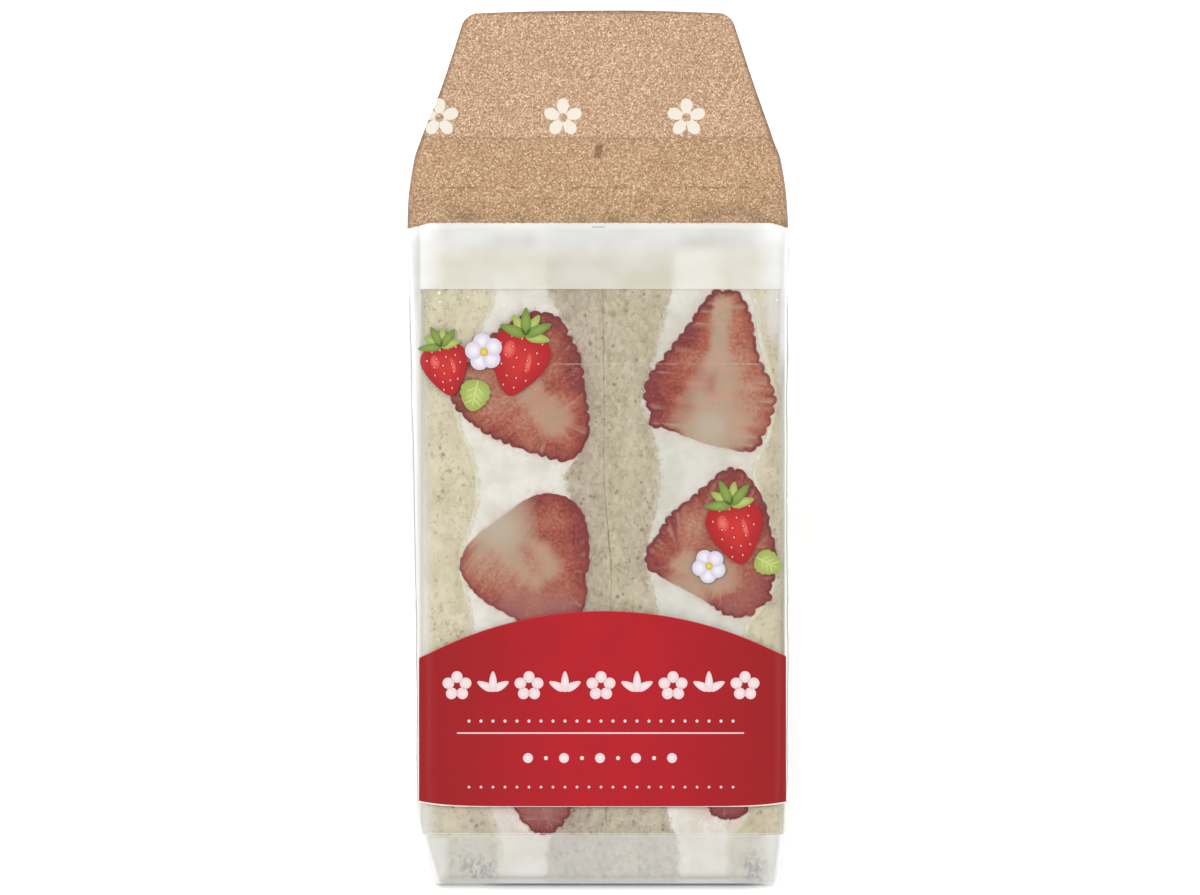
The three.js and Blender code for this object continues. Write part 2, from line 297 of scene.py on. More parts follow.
def film_relief(s, u, n, front):
    """Gathers, dents and creases of the film, in millimetres along its outward direction. front is
    the share that faces the viewer; the other sides lie a little further in."""
    free = smooth(LABEL_TOP, KRAFT_BASE, u)
    gathers = noise(stacked(s * 0.32, u * 0.05, n * 0.05), 3)
    dents = noise(stacked(s * 0.09, u * 0.11, n * 0.09), 5)
    crease = 1 - np.abs(noise(stacked(s * 0.12 + n * 0.1, u * 0.05 + n * 0.09, n * 0.03), 9))
    crease = np.maximum(crease - 0.9, 0) * 10
    on_front = free * (0.3 * dents + 0.16 * gathers)
    elsewhere = -0.3 + 0.2 * dents + 0.3 * crease
    fin = smooth(FIN_BASE - 3, FIN_BASE + 2, u)
    return (front * on_front + (1 - front) * elsewhere) * (1 - fin) + fin * 0.05 * gathers


def front_film(s, u):
    return stacked(s, u, front_at(u) - edge_drop(s, u) + wave_at(s, u))


def back_film(s, u):
    return stacked(s, u, back_at(u) + edge_drop(s, u) + wave_at(s, u))


def left_film(n, u):
    s = left_at(u)
    return stacked(s - film_relief(s, u, n, 0), u, n)


def right_film(n, u):
    s = right_at(u)
    return stacked(s + film_relief(s, u, n, 0), u, n)


def off_surface(surface, a, b, lift, outward=(0, 0, 1)):
    """Points a lift above a surface, on the side that outward points to."""
    a = np.asarray(a, float)
    b = np.asarray(b, float)
    step = 0.02
    here = surface(a, b)
    normal = np.cross(surface(a + step, b) - here, surface(a, b + step) - here)
    normal /= np.linalg.norm(normal, axis=-1, keepdims=True)
    normal *= np.sign(normal @ np.array(outward, float))[..., None]
    return here + normal * np.broadcast_to(lift, a.shape)[..., None]


# Meshes: a shell is its points in pack coordinates, its faces and its named values


def grid_faces(rows, columns, wrap):
    """Quads of a grid of points, whose columns may close on themselves."""
    i, k = np.meshgrid(np.arange(rows - 1), np.arange(columns if wrap else columns - 1), indexing="ij")
    here = i * columns + k
    beside = i * columns + (k + 1) % columns
    return stacked(here, here + columns, beside + columns, beside).reshape(-1, 4)


def loft_shell(rings, opposite):
    """A closed shell from rings, each end closed by joining its front to its back."""
    rows, count = rings.shape[:2]
    k = np.arange(-1, (opposite - 1) // 2)
    ends = stacked(k, k + 1, opposite - k - 1, opposite - k) % count
    faces = [grid_faces(rows, count, True), ends, ends[:, ::-1] + (rows - 1) * count]
    return facing_out({"points": rings.reshape(-1, 3), "faces": np.concatenate(faces)})


def sheet_shell(outer, inner, **values):
    """A closed thin shell between two grids of points of one shape."""
    rows, columns = outer.shape[:2]
    top = grid_faces(rows, columns, False)
    half = rows * columns
    rim = np.concatenate([
        np.arange(columns),
        np.arange(1, rows) * columns + columns - 1,
        (rows - 1) * columns + np.arange(columns - 2, -1, -1),
        np.arange(rows - 2, 0, -1) * columns,
    ])
    beside = np.roll(rim, -1)
    walls = stacked(rim, beside, beside + half, rim + half)
    points = np.concatenate([outer.reshape(-1, 3), inner.reshape(-1, 3)])
    faces = np.concatenate([top, top[:, ::-1] + half, walls])
    return facing_out({"points": points, "faces": faces, **values})


def sheet_on(surface, a, b, low, high, outward=(0, 0, 1), **values):
    """A closed thin shell over a grid of places on a surface, from one lift above it to another."""
    outer, inner = (off_surface(surface, a, b, lift, outward) for lift in (high, low))
    return sheet_shell(outer, inner, **values)


def plate_shell(outline, lift, thick, rings=3):
    """A thin closed plate of ink on the label. Its outline, in (s, u), is seen whole from its middle."""
    outline = np.asarray(outline, float)
    count = len(outline)
    reach = np.linspace(1 / rings, 1, rings)
    flat = outline.mean(0) + (outline - outline.mean(0)) * reach[:, None, None]
    flat = np.concatenate([outline.mean(0)[None], flat.reshape(-1, 2)])
    half = len(flat)
    k = np.arange(count)
    beside = (k + 1) % count
    fan = stacked(np.zeros_like(k), 1 + k, 1 + beside, 1 + beside)
    top = np.concatenate([fan, grid_faces(rings, count, True) + 1])
    last = half - count
    rim = stacked(last + k, last + k + half, last + beside + half, last + beside)
    points = np.concatenate([
        off_surface(front_film, flat[:, 0], flat[:, 1], height) for height in (lift + thick, lift)
    ])
    faces = np.concatenate([top, top[:, ::-1] + half, rim])
    spread = np.concatenate([[0], np.repeat(reach, count)])
    return facing_out({"points": points, "faces": faces, "reach": np.tile(spread, 2)})


def facing_out(shell):
    """The shell with its faces turned so that they point out of it."""
    p, f = shell["points"], shell["faces"]
    p = p - p.mean(0)
    a, b, c, d = (p[f[:, i]] for i in range(4))
    six_volumes = (a * np.cross(b, c)).sum() + (a * np.cross(c, d)).sum()
    if six_volumes < 0:
        shell["faces"] = f[:, ::-1]
    return shell


def joined(shells):
    """Several shells as one."""
    starts = np.cumsum([0] + [len(x["points"]) for x in shells[:-1]])
    whole = {"faces": np.concatenate([x["faces"] + i for x, i in zip(shells, starts)])}
    for key in shells[0]:
        if key != "faces":
            whole[key] = np.concatenate([x[key] for x in shells])
    return whole


def placed(name, data):
    """A new object in the scene."""
    made = bpy.data.objects.new(name, data)
    bpy.context.scene.collection.objects.link(made)
    return made


def piece(name, shell, material, sharp=None):
    """A Blender object from a shell, riding on the one body. Its material reads the place attribute,
    which holds pack coordinates in millimetres, and the shell's own values."""
    mesh = bpy.data.meshes.new(name)
    faces = [list(dict.fromkeys(face)) for face in shell["faces"].tolist()]
    mesh.from_pydata(to_world(shell["points"]).tolist(), [], faces)
    values = {key: value for key, value in shell.items() if key not in ("points", "faces")}
    for key, value in {"place": shell["points"], **values}.items():
        kind, field = ("FLOAT", "value") if value.ndim == 1 else ("FLOAT_VECTOR", "vector")
        held = mesh.attributes.new(key, kind, "POINT")
        held.data.foreach_set(field, value.astype(np.float32).ravel())
    mesh.materials.append(material)
    mesh.polygons.foreach_set("use_smooth", [True] * len(faces))
    if sharp:
        mesh.set_sharp_from_angle(angle=math.radians(sharp))
    mesh.update()
    found = placed(name, mesh)
    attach(found, "root")
    return found


# Materials


def srgb(red, green, blue):
    """A colour as seen on screen, 0 to 255, as Blender's linear colour."""
    shares = (c / 255 for c in (red, green, blue))
    return tuple(c / 12.92 if c < 0.04045 else ((c + 0.055) / 1.055) ** 2.4 for c in shares) + (1,)


class Look:
    """A material made of nodes. Its short calls return output sockets, and paint and tint change
    its running colour. A colour of three numbers is as seen on screen, 0 to 255."""

    def __init__(self, name):
        self.material = bpy.data.materials.new(name)
        self.material.use_nodes = True
        self.tree = self.material.node_tree
        self.shader = self.tree.nodes["Principled BSDF"]
        self.place = self.node("ShaderNodeAttribute", attribute_name="place").outputs["Vector"]
        axes = self.node("ShaderNodeSeparateXYZ", {0: self.place}).outputs
        self.s, self.u, self.n = (axes[name] for name in "XYZ")
        self.values = {"s": self.s, "u": self.u, "n": self.n, "across": self.off(self.s, 0.0)}
        self.colour = None

    def node(self, kind, inputs=None, **settings):
        made = self.tree.nodes.new(kind)
        for key, value in settings.items():
            setattr(made, key, value)
        for key, value in (inputs or {}).items():
            self.put(made.inputs[key], value)
        return made

    def put(self, socket, value):
        if isinstance(value, bpy.types.NodeSocket):
            self.tree.links.new(value, socket)
        elif socket.type == "RGBA" and len(value) == 3:
            socket.default_value = srgb(*value)
        else:
            socket.default_value = value

    def set(self, **inputs):
        """The material, with the given inputs, and the running colour as its base colour."""
        for key, value in {"Base_Color": self.colour, **inputs}.items():
            self.put(self.shader.inputs[key.replace("_", " ")], value)
        return self.material

    def value(self, name):
        """s, u, n, across (how far from the middle), or a value that the mesh holds."""
        if name not in self.values:
            self.values[name] = self.node("ShaderNodeAttribute", attribute_name=name).outputs["Fac"]
        return self.values[name]

    def math(self, operation, a, b=0.0, c=0.0):
        return self.node("ShaderNodeMath", {0: a, 1: b, 2: c}, operation=operation).outputs[0]

    def chain(self, operation, parts):
        result, *rest = parts
        for part in rest:
            result = self.math(operation, result, part)
        return result

    def times(self, *factors):
        return self.chain("MULTIPLY", factors)

    def plus(self, *terms):
        return self.chain("ADD", terms)

    def most(self, *values):
        return self.chain("MAXIMUM", values)

    def towards(self, share, a, b):
        """The number a moved towards the number b, as far as share tells."""
        return self.math("MULTIPLY_ADD", share, self.math("SUBTRACT", b, a), a)

    def off(self, value, middle):
        """How far a value is from a middle one, either way."""
        return self.math("ABSOLUTE", self.math("SUBTRACT", value, middle))

    def moved(self, vector, by, operation="ADD"):
        return self.node("ShaderNodeVectorMath", {0: vector, 1: by}, operation=operation).outputs[0]

    def scaled(self, by):
        return self.moved(self.place, by, "MULTIPLY")

    def between(self, value, low, high, to_low=0.0, to_high=1.0):
        inputs = {"Value": value, 1: low, 2: high, 3: to_low, 4: to_high}
        return self.node("ShaderNodeMapRange", inputs, interpolation_type="SMOOTHSTEP").outputs[0]

    def inside(self, value, low, high, soft):
        """1 between low and high, with edges as wide as soft."""
        half = soft / 2
        rising = self.between(value, low - half, low + half)
        return self.times(rising, self.between(value, high + half, high - half))

    def zone(self, *factors, **ranges):
        """The product of the factors and of a share for each named value: 0 at the first number of its
        range and 1 at the second, or 1 between the two, where the third is how soft the edges are."""
        shares = [
            (self.inside if len(ends) == 3 else self.between)(self.value(name), *ends)
            for name, ends in ranges.items()
        ]
        return self.times(*factors, *shares)

    def noise(self, scale, detail=2.0, roughness=0.5, place=None):
        place = self.place if place is None else place
        inputs = {"Vector": place, "Scale": scale, "Detail": detail, "Roughness": roughness}
        return self.node("ShaderNodeTexNoise", inputs).outputs["Fac"]

    def cells(self, scale):
        inputs = {"Vector": self.place, "Scale": scale}
        return self.node("ShaderNodeTexVoronoi", inputs).outputs["Distance"]

    def strokes(self, place, scale, width, rarity):
        """Short curved strokes, width in shares of the noise's range; rarity of 0.5 keeps half."""
        line = self.between(self.off(self.noise(scale, 1.0, place=place), 0.5), width, width * 0.35)
        kept = self.noise(scale * 0.7, 1.0, place=self.moved(place, (31.0, 17.0, 5.0)))
        return self.times(line, self.between(kept, rarity, rarity + 0.06))

    def mix(self, share, a, b):
        return self.node("ShaderNodeMix", {"Factor": share, 6: a, 7: b}, data_type="RGBA").outputs[2]

    def paint(self, colour, *factors, **ranges):
        """Lays a colour over the running one, as far as the zone tells."""
        self.colour = self.mix(self.zone(*factors, **ranges), self.colour, colour)

    def tint(self, tint, *factors, **ranges):
        """Multiplies the running colour by a tint, as far as the zone tells."""
        self.paint(self.moved(self.colour, tint, "MULTIPLY"), *factors, **ranges)

    def ramp(self, value, stops):
        made = self.node("ShaderNodeValToRGB", {0: value})
        elements = made.color_ramp.elements
        while len(elements) < len(stops):
            elements.new(0.5)
        for element, (position, colour) in zip(elements, stops):
            element.position = position
            element.color = srgb(*colour)
        return made.outputs["Color"]

    def bump(self, height, depth, strength=1.0):
        """Relief whose height of 1 stands depth millimetres proud."""
        inputs = {"Height": height, "Distance": depth * MM, "Strength": strength}
        return self.node("ShaderNodeBump", inputs).outputs["Normal"]


# Marks on the paper: its blossoms, and the crease across it
BLOSSOM_S = -8.2
BLOSSOM_U = 172.7
BLOSSOM_SPACING = 27.3
BLOSSOM_RADIUS = 4.3
PAPER_CREASE_U = 157.1

# Small rectangular marks, as (s, u, half width, half height)
TEAR_MARK = (-0.3, 165.2, 0.8, 1.5)
SLIT = (-0.4, 148.4, 1.4, 0.16)
# Grey spots of painted shade on the film at the tops of the slices
FILM_SHADE_SPOTS = [(25.5, 145.6, 7.5, 1.0), (-19.0, 145.8, 4.0, 1.0)]

# Places where the clear film is paler at its right edge, and by how much
FILM_GLOWS = [
    (0.45, {"u": (119.0, 128.0), "s": (34.0, 38.0)}),
    (0.8, {"u": (108.0, 124.0), "s": (38.5, 40.5)}),
    (0.5, {"u": (82.0, 92.0), "s": (39.0, 41.0)}),
]


def blossom_mask(look):
    """A row of plain five-petalled blossoms."""
    half = BLOSSOM_SPACING / 2
    across = look.math("WRAP", look.plus(look.s, -BLOSSOM_S), half, -half)
    up = look.plus(look.u, -BLOSSOM_U)
    radius = look.math("SQRT", look.plus(look.times(across, across), look.times(up, up)))
    turn = look.math("ARCTAN2", across, up)
    petal = look.math("ABSOLUTE", look.math("COSINE", look.times(turn, 2.5)))
    petal = look.times(look.math("POWER", petal, 0.42), BLOSSOM_RADIUS)
    inside = look.between(look.math("SUBTRACT", petal, radius), -0.12, 0.12)
    return look.times(inside, look.between(radius, 0.85, 1.1))


def spot_mask(look, spot, soft):
    """A small soft-edged rectangle, as (s, u, half width, half height)."""
    s, u, wide, high = spot
    return look.times(
        look.between(look.off(look.s, s), wide + soft, wide - soft * 0.5),
        look.between(look.off(look.u, u), high + soft, high - soft * 0.5),
    )


def paint_kraft(look, blossoms=True):
    """Gives a look the colour of brown paper: tan with light and dark strokes, darker with painted shade
    along its folds and edges. Returns its fine grain."""
    fine = look.noise(2.8, 2.0, 0.7)
    dark = look.strokes(look.moved(look.place, (7.0, 3.0, 1.0)), 2.7, 0.08, 0.45)
    pale = look.strokes(look.place, 2.4, 0.075, 0.47)
    crease_shade_noise = look.between(look.noise(0.35, 1.0), 0.42, 0.58)
    mottle = look.between(look.noise(0.26, 1.5, place=look.scaled((0.6, 1.0, 1.0))), 0.48, 0.62)
    low = look.zone(u=(158.0, 150.0))
    look.colour = look.mix(look.between(fine, 0.34, 0.66), (162, 120, 84), (210, 173, 140))
    look.paint((156, 122, 78), look.between(look.noise(0.12), 0.4, 0.7, 0.0, 0.18))
    look.paint((128, 92, 58), dark, 0.75)
    look.paint((240, 213, 183), pale, 0.8)
    look.paint((252, 234, 210), look.between(look.cells(1.0), 0.22, 0.12), 0.8)
    look.tint((0.9, 0.87, 0.78), u=(FIN_BASE + 0.15, FIN_BASE - 0.15))
    # Painted shade in a thin line along the seal at the foot of the fin.
    look.tint((0.76, 0.72, 0.66), look.between(look.off(look.u, FIN_BASE), 0.5, 0.05), 0.6)
    # Painted shade along the crease across the paper, broken up by noise.
    look.tint((0.62, 0.6, 0.58), look.between(look.off(look.u, PAPER_CREASE_U), 0.4, 0.05), crease_shade_noise)
    look.tint((0.9, 0.9, 0.86), low)
    look.tint((0.74, 0.74, 0.74), low, mottle)
    # Painted shade along the film's edges, where it turns away from the light.
    look.paint((112, 76, 50), 0.7, edge=(1.3, 0.05))
    if blossoms:
        look.paint((234, 227, 213), blossom_mask(look), 0.94)
    s, u, wide, high = TEAR_MARK
    slant = look.math("MULTIPLY_ADD", look.plus(look.u, -u), -0.25, look.s)
    look.paint(
        (112, 80, 42),
        look.between(look.off(slant, s), wide + 0.25, wide - 0.25),
        look.between(look.off(look.u, u), high + 0.4, high - 0.4),
        look.between(fine, 0.3, 0.7, 1.0, 0.6),
    )
    return fine


def film_alpha(look, smear, zones):
    """The film's opacity. It grows with the distance from the sandwiches, and is low where the label
    is glued over them."""
    high_sides = look.zone(0.1, u=(135.0, 143.0, 4.0), across=(30.0, 38.0))
    haze = look.plus(
        look.zone(u=(60.0, 139.0, 0.58, 0.66)),
        look.between(smear, 0.3, 0.75, -0.05, 0.03),
        look.zone(u=(140.0, 147.5, 0.0, 0.22)),
        high_sides,
    )
    haze = look.most(haze, look.zone(gap=(0.4, 3.0, 0.0, 0.95)))
    haze = look.towards(zones["foot"], haze, 0.36)
    haze = look.most(
        haze,
        look.times(zones["left_foot"], 0.66),
        look.times(zones["under_tip"], 0.6),
        look.times(zones["fold"], 0.85),
        look.zone(zones["front"], 0.96, edge=(3.4, 0.4)),
    )
    clear = look.most(
        look.zone(gap=(0.45, 1.8, 0.0, 0.45)),
        look.zone(0.5, edge=(5.0, 1.3), s=(1.0, -1.0)),
        look.zone(0.45, edge=(2.2, 0.0), s=(-1.0, 1.0)),
        *(look.zone(zones["front"], share, **ranges) for share, ranges in FILM_GLOWS),
    )
    glued = look.zone(
        s=(LABEL_LEFT, LABEL_RIGHT, 0.2),
        u=(LABEL_BOTTOM - 0.15, LABEL_TOP, 0.2),
        n=(-5.0, -4.0),
    )
    return look.towards(glued, haze, clear)


def film_look():
    """Frosted film under a brown printed top."""
    look = Look("pack_film")
    smear = look.noise(0.09, 2.5, 0.55, place=look.scaled((0.6, 1.0, 1.0)))
    front = look.zone(n=(-7.0, -3.5))
    foot = look.zone(front, u=(15.5, 13.5), across=(38.0, 34.0))
    left_foot = look.zone(front, u=(15.5, 13.0), s=(-30.5, -35.0))
    under_tip = look.zone(foot, u=(6.2, 4.2))
    fold = look.zone(u=(3.8, 3.4), across=(38.0, 34.0))
    zones = {"front": front, "foot": foot, "left_foot": left_foot, "under_tip": under_tip, "fold": fold}
    look.colour = look.mix(look.between(smear, 0.35, 0.7), (231, 232, 229), (241, 241, 239))
    warm = look.between(smear, 0.62, 0.42, 0.6, 1.0)
    look.paint((234, 229, 213), front, warm, u=(126.0, 143.0, 5.0))
    look.paint((248, 246, 239), front, 0.85, s=(16.5, 26.5, 4.0), u=(130.0, 143.0, 4.0))
    # Painted shade: the film is greyer over the rounded tops of the slices and the gap above them.
    look.tint((0.9, 0.9, 0.89), front, u=(142.0, 146.5))
    # Painted shade in grey spots at the tops of the slices.
    for spot in FILM_SHADE_SPOTS:
        look.tint((0.92, 0.9, 0.87), front, spot_mask(look, spot, 2.0))
    look.paint((240, 240, 238), foot)
    # Painted shade: the film is greyer below the tips of the layers at the foot.
    look.paint((213, 213, 210), under_tip, 0.8)
    look.paint((252, 252, 252), across=(33.0, 39.0))
    look.tint((0.94, 0.93, 0.91), left_foot)
    look.tint((0.82, 0.82, 0.76), front, look.between(look.s, -41.3, -40.0), s=(-39.5, -39.7))
    look.tint((0.95, 0.93, 0.86), front, s=(40.2, 40.6), u=(112.0, 98.0))
    # A dark line of painted shadow where the film turns under at its foot and meets the floor.
    look.paint((150, 150, 148), fold, 0.8)
    look.paint((60, 60, 62), fold, 0.9, s=(-24.0, 34.0, 8.0))
    slit = spot_mask(look, SLIT, 0.12)
    look.paint((176, 184, 188), slit, 0.9)
    film = look.colour
    fine = paint_kraft(look)
    above = look.plus(look.u, look.zone(across=(KRAFT_DIP_FROM, KRAFT_DIP_TO, 0.0, KRAFT_DIP)), -KRAFT_BASE)
    kraft = look.between(look.plus(above, look.times(look.plus(fine, -0.5), 0.9)), -0.06, 0.06)
    look.paint((140, 104, 74), look.between(above, 0.5, 0.1, 0.0, 0.45))
    ripple = look.noise(0.16, place=look.scaled((1.0, 0.5, 1.0)))
    return look.set(
        Base_Color=look.mix(kraft, film, look.colour),
        Roughness=look.between(kraft, 0.0, 1.0, 0.34, 0.5),
        Alpha=look.most(film_alpha(look, smear, zones), kraft, slit),
        Normal=look.bump(ripple, 0.4, 0.5),
    )


# Film pieces

FRONT_STEPS = 70
SIDE_STEPS = 36
ARC_STEPS = 5


def ring_heights():
    """u of the film's rings, closer where the form turns."""
    return np.concatenate([
        np.linspace(TIP_LOW + 0.03, TIP_RUN, 10, endpoint=False),
        np.linspace(TIP_RUN, KRAFT_BASE, 150, endpoint=False),
        np.linspace(KRAFT_BASE, FIN_BASE - 1, 24, endpoint=False),
        np.linspace(FIN_BASE - 1, FIN_BASE + 1, 8, endpoint=False),
        np.linspace(FIN_BASE + 1, FIN_TOP - FIN_CORNER - 1, 30, endpoint=False),
        FIN_TOP - (FIN_CORNER + 1) * (1 - np.sin(np.linspace(0, np.pi / 2, 12))),
    ])


def film_rings():
    u = ring_heights()[:, None]
    r, left, right, front, back = round_at(u), left_at(u), right_at(u), front_at(u), back_at(u)
    sections = []

    def arc(s, n, start):
        angle = start + np.linspace(0, math.pi / 2, ARC_STEPS + 1)
        sections.append([s + r * np.cos(angle), n + r * np.sin(angle), np.cos(angle), np.sin(angle)])

    def run(s0, n0, s1, n1, steps, out_s, out_n):
        t = np.linspace(0, 1, steps + 1)[1:-1]
        sections.append([s0 + (s1 - s0) * t, n0 + (n1 - n0) * t, out_s + 0 * t, out_n + 0 * t])

    arc(right - r, front - r, 0)
    run(right - r, front, left + r, front, FRONT_STEPS, 0, 1)
    arc(left + r, front - r, math.pi / 2)
    run(left, front - r, left, back + r, SIDE_STEPS, -1, 0)
    arc(left + r, back + r, math.pi)
    run(left + r, back, right - r, back, FRONT_STEPS, 0, -1)
    arc(right - r, back + r, 1.5 * math.pi)
    run(right, back + r, right, front - r, SIDE_STEPS, 1, 0)
    s, n, out_s, out_n = (
        np.concatenate([np.broadcast_to(x[i], (len(u), x[0].shape[-1])) for x in sections], 1)
        for i in range(4)
    )
    calm = np.where(out_n < -0.3, 0.4 * (u > HYP / 2 + 1), 1)
    amount = calm * film_relief(s, u, n, smooth(0.1, 0.95, out_n))
    bow = TOP_BOW * (s / right_at(FIN_BASE)) ** 2 * smooth(FIN_BASE, FIN_TOP, u)
    return stacked(s + out_s * amount, u - bow, n + wave_at(s, u) + out_n * amount)


def contents_gap(points):
    """How far points of the film stand off the sandwiches inside it."""
    s, u, n = points.T
    across = np.maximum(s - right_face(u, n), left_face(u, n) - s)
    v = np.minimum(u, HYP - u)
    inset = SLICE_LEG_GAP * math.sqrt(2)
    out = np.maximum(n - SLICE_FRONT, (inset - v - n) / math.sqrt(2))
    before = inset - SLICE_FRONT + SLICE_TIP_RUN - v
    under = n - SLICE_FRONT + SLICE_TIP_ROUND
    past_tip = (before > 0) & (before + under > 0)
    out = np.where(past_tip, np.hypot(before, under) - SLICE_TIP_ROUND, out)
    corner = np.hypot(np.maximum(across + OUTER_CORNER, 0), np.maximum(out + OUTER_CORNER, 0))
    near_corner = (across > -OUTER_CORNER) & (out > -OUTER_CORNER)
    return np.where(near_corner, corner - OUTER_CORNER, np.maximum(across, out))


def make_film():
    rings = film_rings()
    shell = loft_shell(rings, rings.shape[1] - SIDE_STEPS)
    s, u, n = shell["points"].T
    shell["gap"] = contents_gap(shell["points"])
    shell["edge"] = np.minimum(np.minimum(s - left_at(u), right_at(u) - s), FIN_TOP - u)
    look = film_look()
    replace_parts(piece("film", shell, look), "pack")
    return look


def flap(name, corners, surface, outward, lift, thick, material, far_lift, steps=30):
    """A folded-over patch of film between four corners, whose far edge stands off a little."""
    a, b, c, d = (np.array(p, float) for p in corners)
    t, v = np.meshgrid(np.linspace(0, 1, steps), np.linspace(0, 1, steps))
    t, v = t[..., None], v[..., None]
    flat = (a * (1 - t) + b * t) * (1 - v) + (d * (1 - t) + c * t) * v
    x, y = flat[..., 0], flat[..., 1]
    ripple = noise(stacked(x * 0.16, y * 0.16, lift * 9), 17)
    amount = lift + far_lift * v[..., 0] ** 3 * (0.6 + 0.4 * ripple)
    edge = np.minimum(np.minimum(t, 1 - t), np.minimum(v, 1 - v))[..., 0].ravel() * 25
    shell = sheet_on(surface, x, y, amount, amount + thick, outward, edge=np.tile(edge, 2))
    return piece(name, shell, material, sharp=50)


def make_side_folds(look):
    front = -EDGE_ROUND
    deep = front - SIDE_FOLD_DEPTH
    middle = HYP / 2
    from_front = [
        (front, SIDE_FOLD_LOW),
        (front, SIDE_FOLD_HIGH),
        (deep, SIDE_FOLD_HIGH - SIDE_FOLD_DEPTH),
        (deep, SIDE_FOLD_LOW + SIDE_FOLD_DEPTH),
    ]
    from_leg = [
        (LEG_FOLD_INSET - middle, middle),
        (LEG_FOLD_INSET + LEG_FOLD_BLUNT - middle, middle + LEG_FOLD_BLUNT),
        (deep - 2, HYP + deep - 2 - LEG_FOLD_INSET),
        (deep - 2, middle),
    ]
    for side, surface, outward in (("left", left_film, (-1, 0, 0)), ("right", right_film, (1, 0, 0))):
        flap(f"side_fold_{side}", from_front, surface, outward, 0.12, 0.06, look, 0.35)
        flap(f"leg_fold_{side}", from_leg, surface, outward, 0.12, 0.06, look, 0.25)


def make_fin_folds():
    look = Look("kraft_fold")
    fine = paint_kraft(look, blossoms=False)
    material = look.set(Roughness=0.5, Normal=look.bump(fine, 0.03, 0.5))
    low = FIN_BASE + 0.8
    high = FIN_TOP - FIN_CORNER - TOP_BOW
    for side, edge, name in ((-1, left_at, "left"), (1, right_at, "right")):
        corners = [
            (float(edge(low)) - side * FIN_FOLD_INSET, low),
            (float(edge(high)) - side * FIN_FOLD_INSET, high),
            (side * FIN_FOLD_HIGH_S, high),
            (side * FIN_FOLD_LOW_S, low),
        ]
        flap(f"fin_fold_{name}", corners, back_film, (0, 0, -1), 0.1, 0.25, material, 0.15)


# Layers of the sandwiches


def slice_profile(u, leg_gap):
    """Front and back n of a triangular layer at heights u, its tips and its corner rounded."""
    inset = leg_gap * math.sqrt(2)
    tip = inset - SLICE_FRONT
    v = np.minimum(u, HYP - u)
    half = circle_height(SLICE_TIP_ROUND, tip + SLICE_TIP_RUN - v)
    middle = SLICE_FRONT - SLICE_TIP_ROUND
    ahead = np.where(v < tip + SLICE_TIP_RUN, middle + half, SLICE_FRONT)
    centre = inset - HYP / 2 + SLICE_BACK_ROUND * math.sqrt(2)
    corner = centre - circle_height(SLICE_BACK_ROUND, v - HYP / 2)
    places = [
        v < tip + SLICE_TIP_RUN / math.sqrt(2),
        np.abs(v - HYP / 2) < SLICE_BACK_ROUND / math.sqrt(2),
    ]
    return ahead, np.select(places, [middle - half, corner], inset - v)


def slice_heights(leg_gap, count):
    low = leg_gap * math.sqrt(2) - SLICE_FRONT + SLICE_TIP_RUN - SLICE_TIP_ROUND
    turn = 1 - np.cos(np.linspace(0, math.pi / 2, TIP_ROWS, endpoint=False))
    tip = low + 0.02 + SLICE_TIP_RUN * turn
    middle = np.linspace(low + SLICE_TIP_RUN, HYP - low - SLICE_TIP_RUN, count)
    return np.concatenate([tip, middle, HYP - tip[::-1]])


def seam(pixels, straight, seed, wander=0.2):
    """s of the border between two layers: as in the photo on the cut face, straight deep inside.
    pixels is its course on the cut face as (y, x) in the photo."""
    pairs = sorted((from_photo(0, y)[1], from_photo(x, 0)[0]) for y, x in pixels)

    def at(u, n):
        cut = along(pairs, u)
        cut = cut + wander * noise(stacked(u * 0.5, n * 0.3, 0), seed)
        cut = cut + wander * noise(stacked(u * 1.2, n * 0.7, 0), seed + 1)
        return straight + (cut - straight) * smooth(-SEAM_DEPTH, -2, n)

    return at


def left_face(u, n):
    return np.maximum(LEFT_FACE, left_at(u) + FACE_GAP) + 0 * n


def right_face(u, n):
    return np.minimum(RIGHT_FACE, right_at(u) - FACE_GAP) + 0 * n


def shifted(border, by):
    """A border moved across by an amount that changes up the pack, as (u, millimetres) pairs."""
    return lambda u, n: border(u, n) + along(by, u)


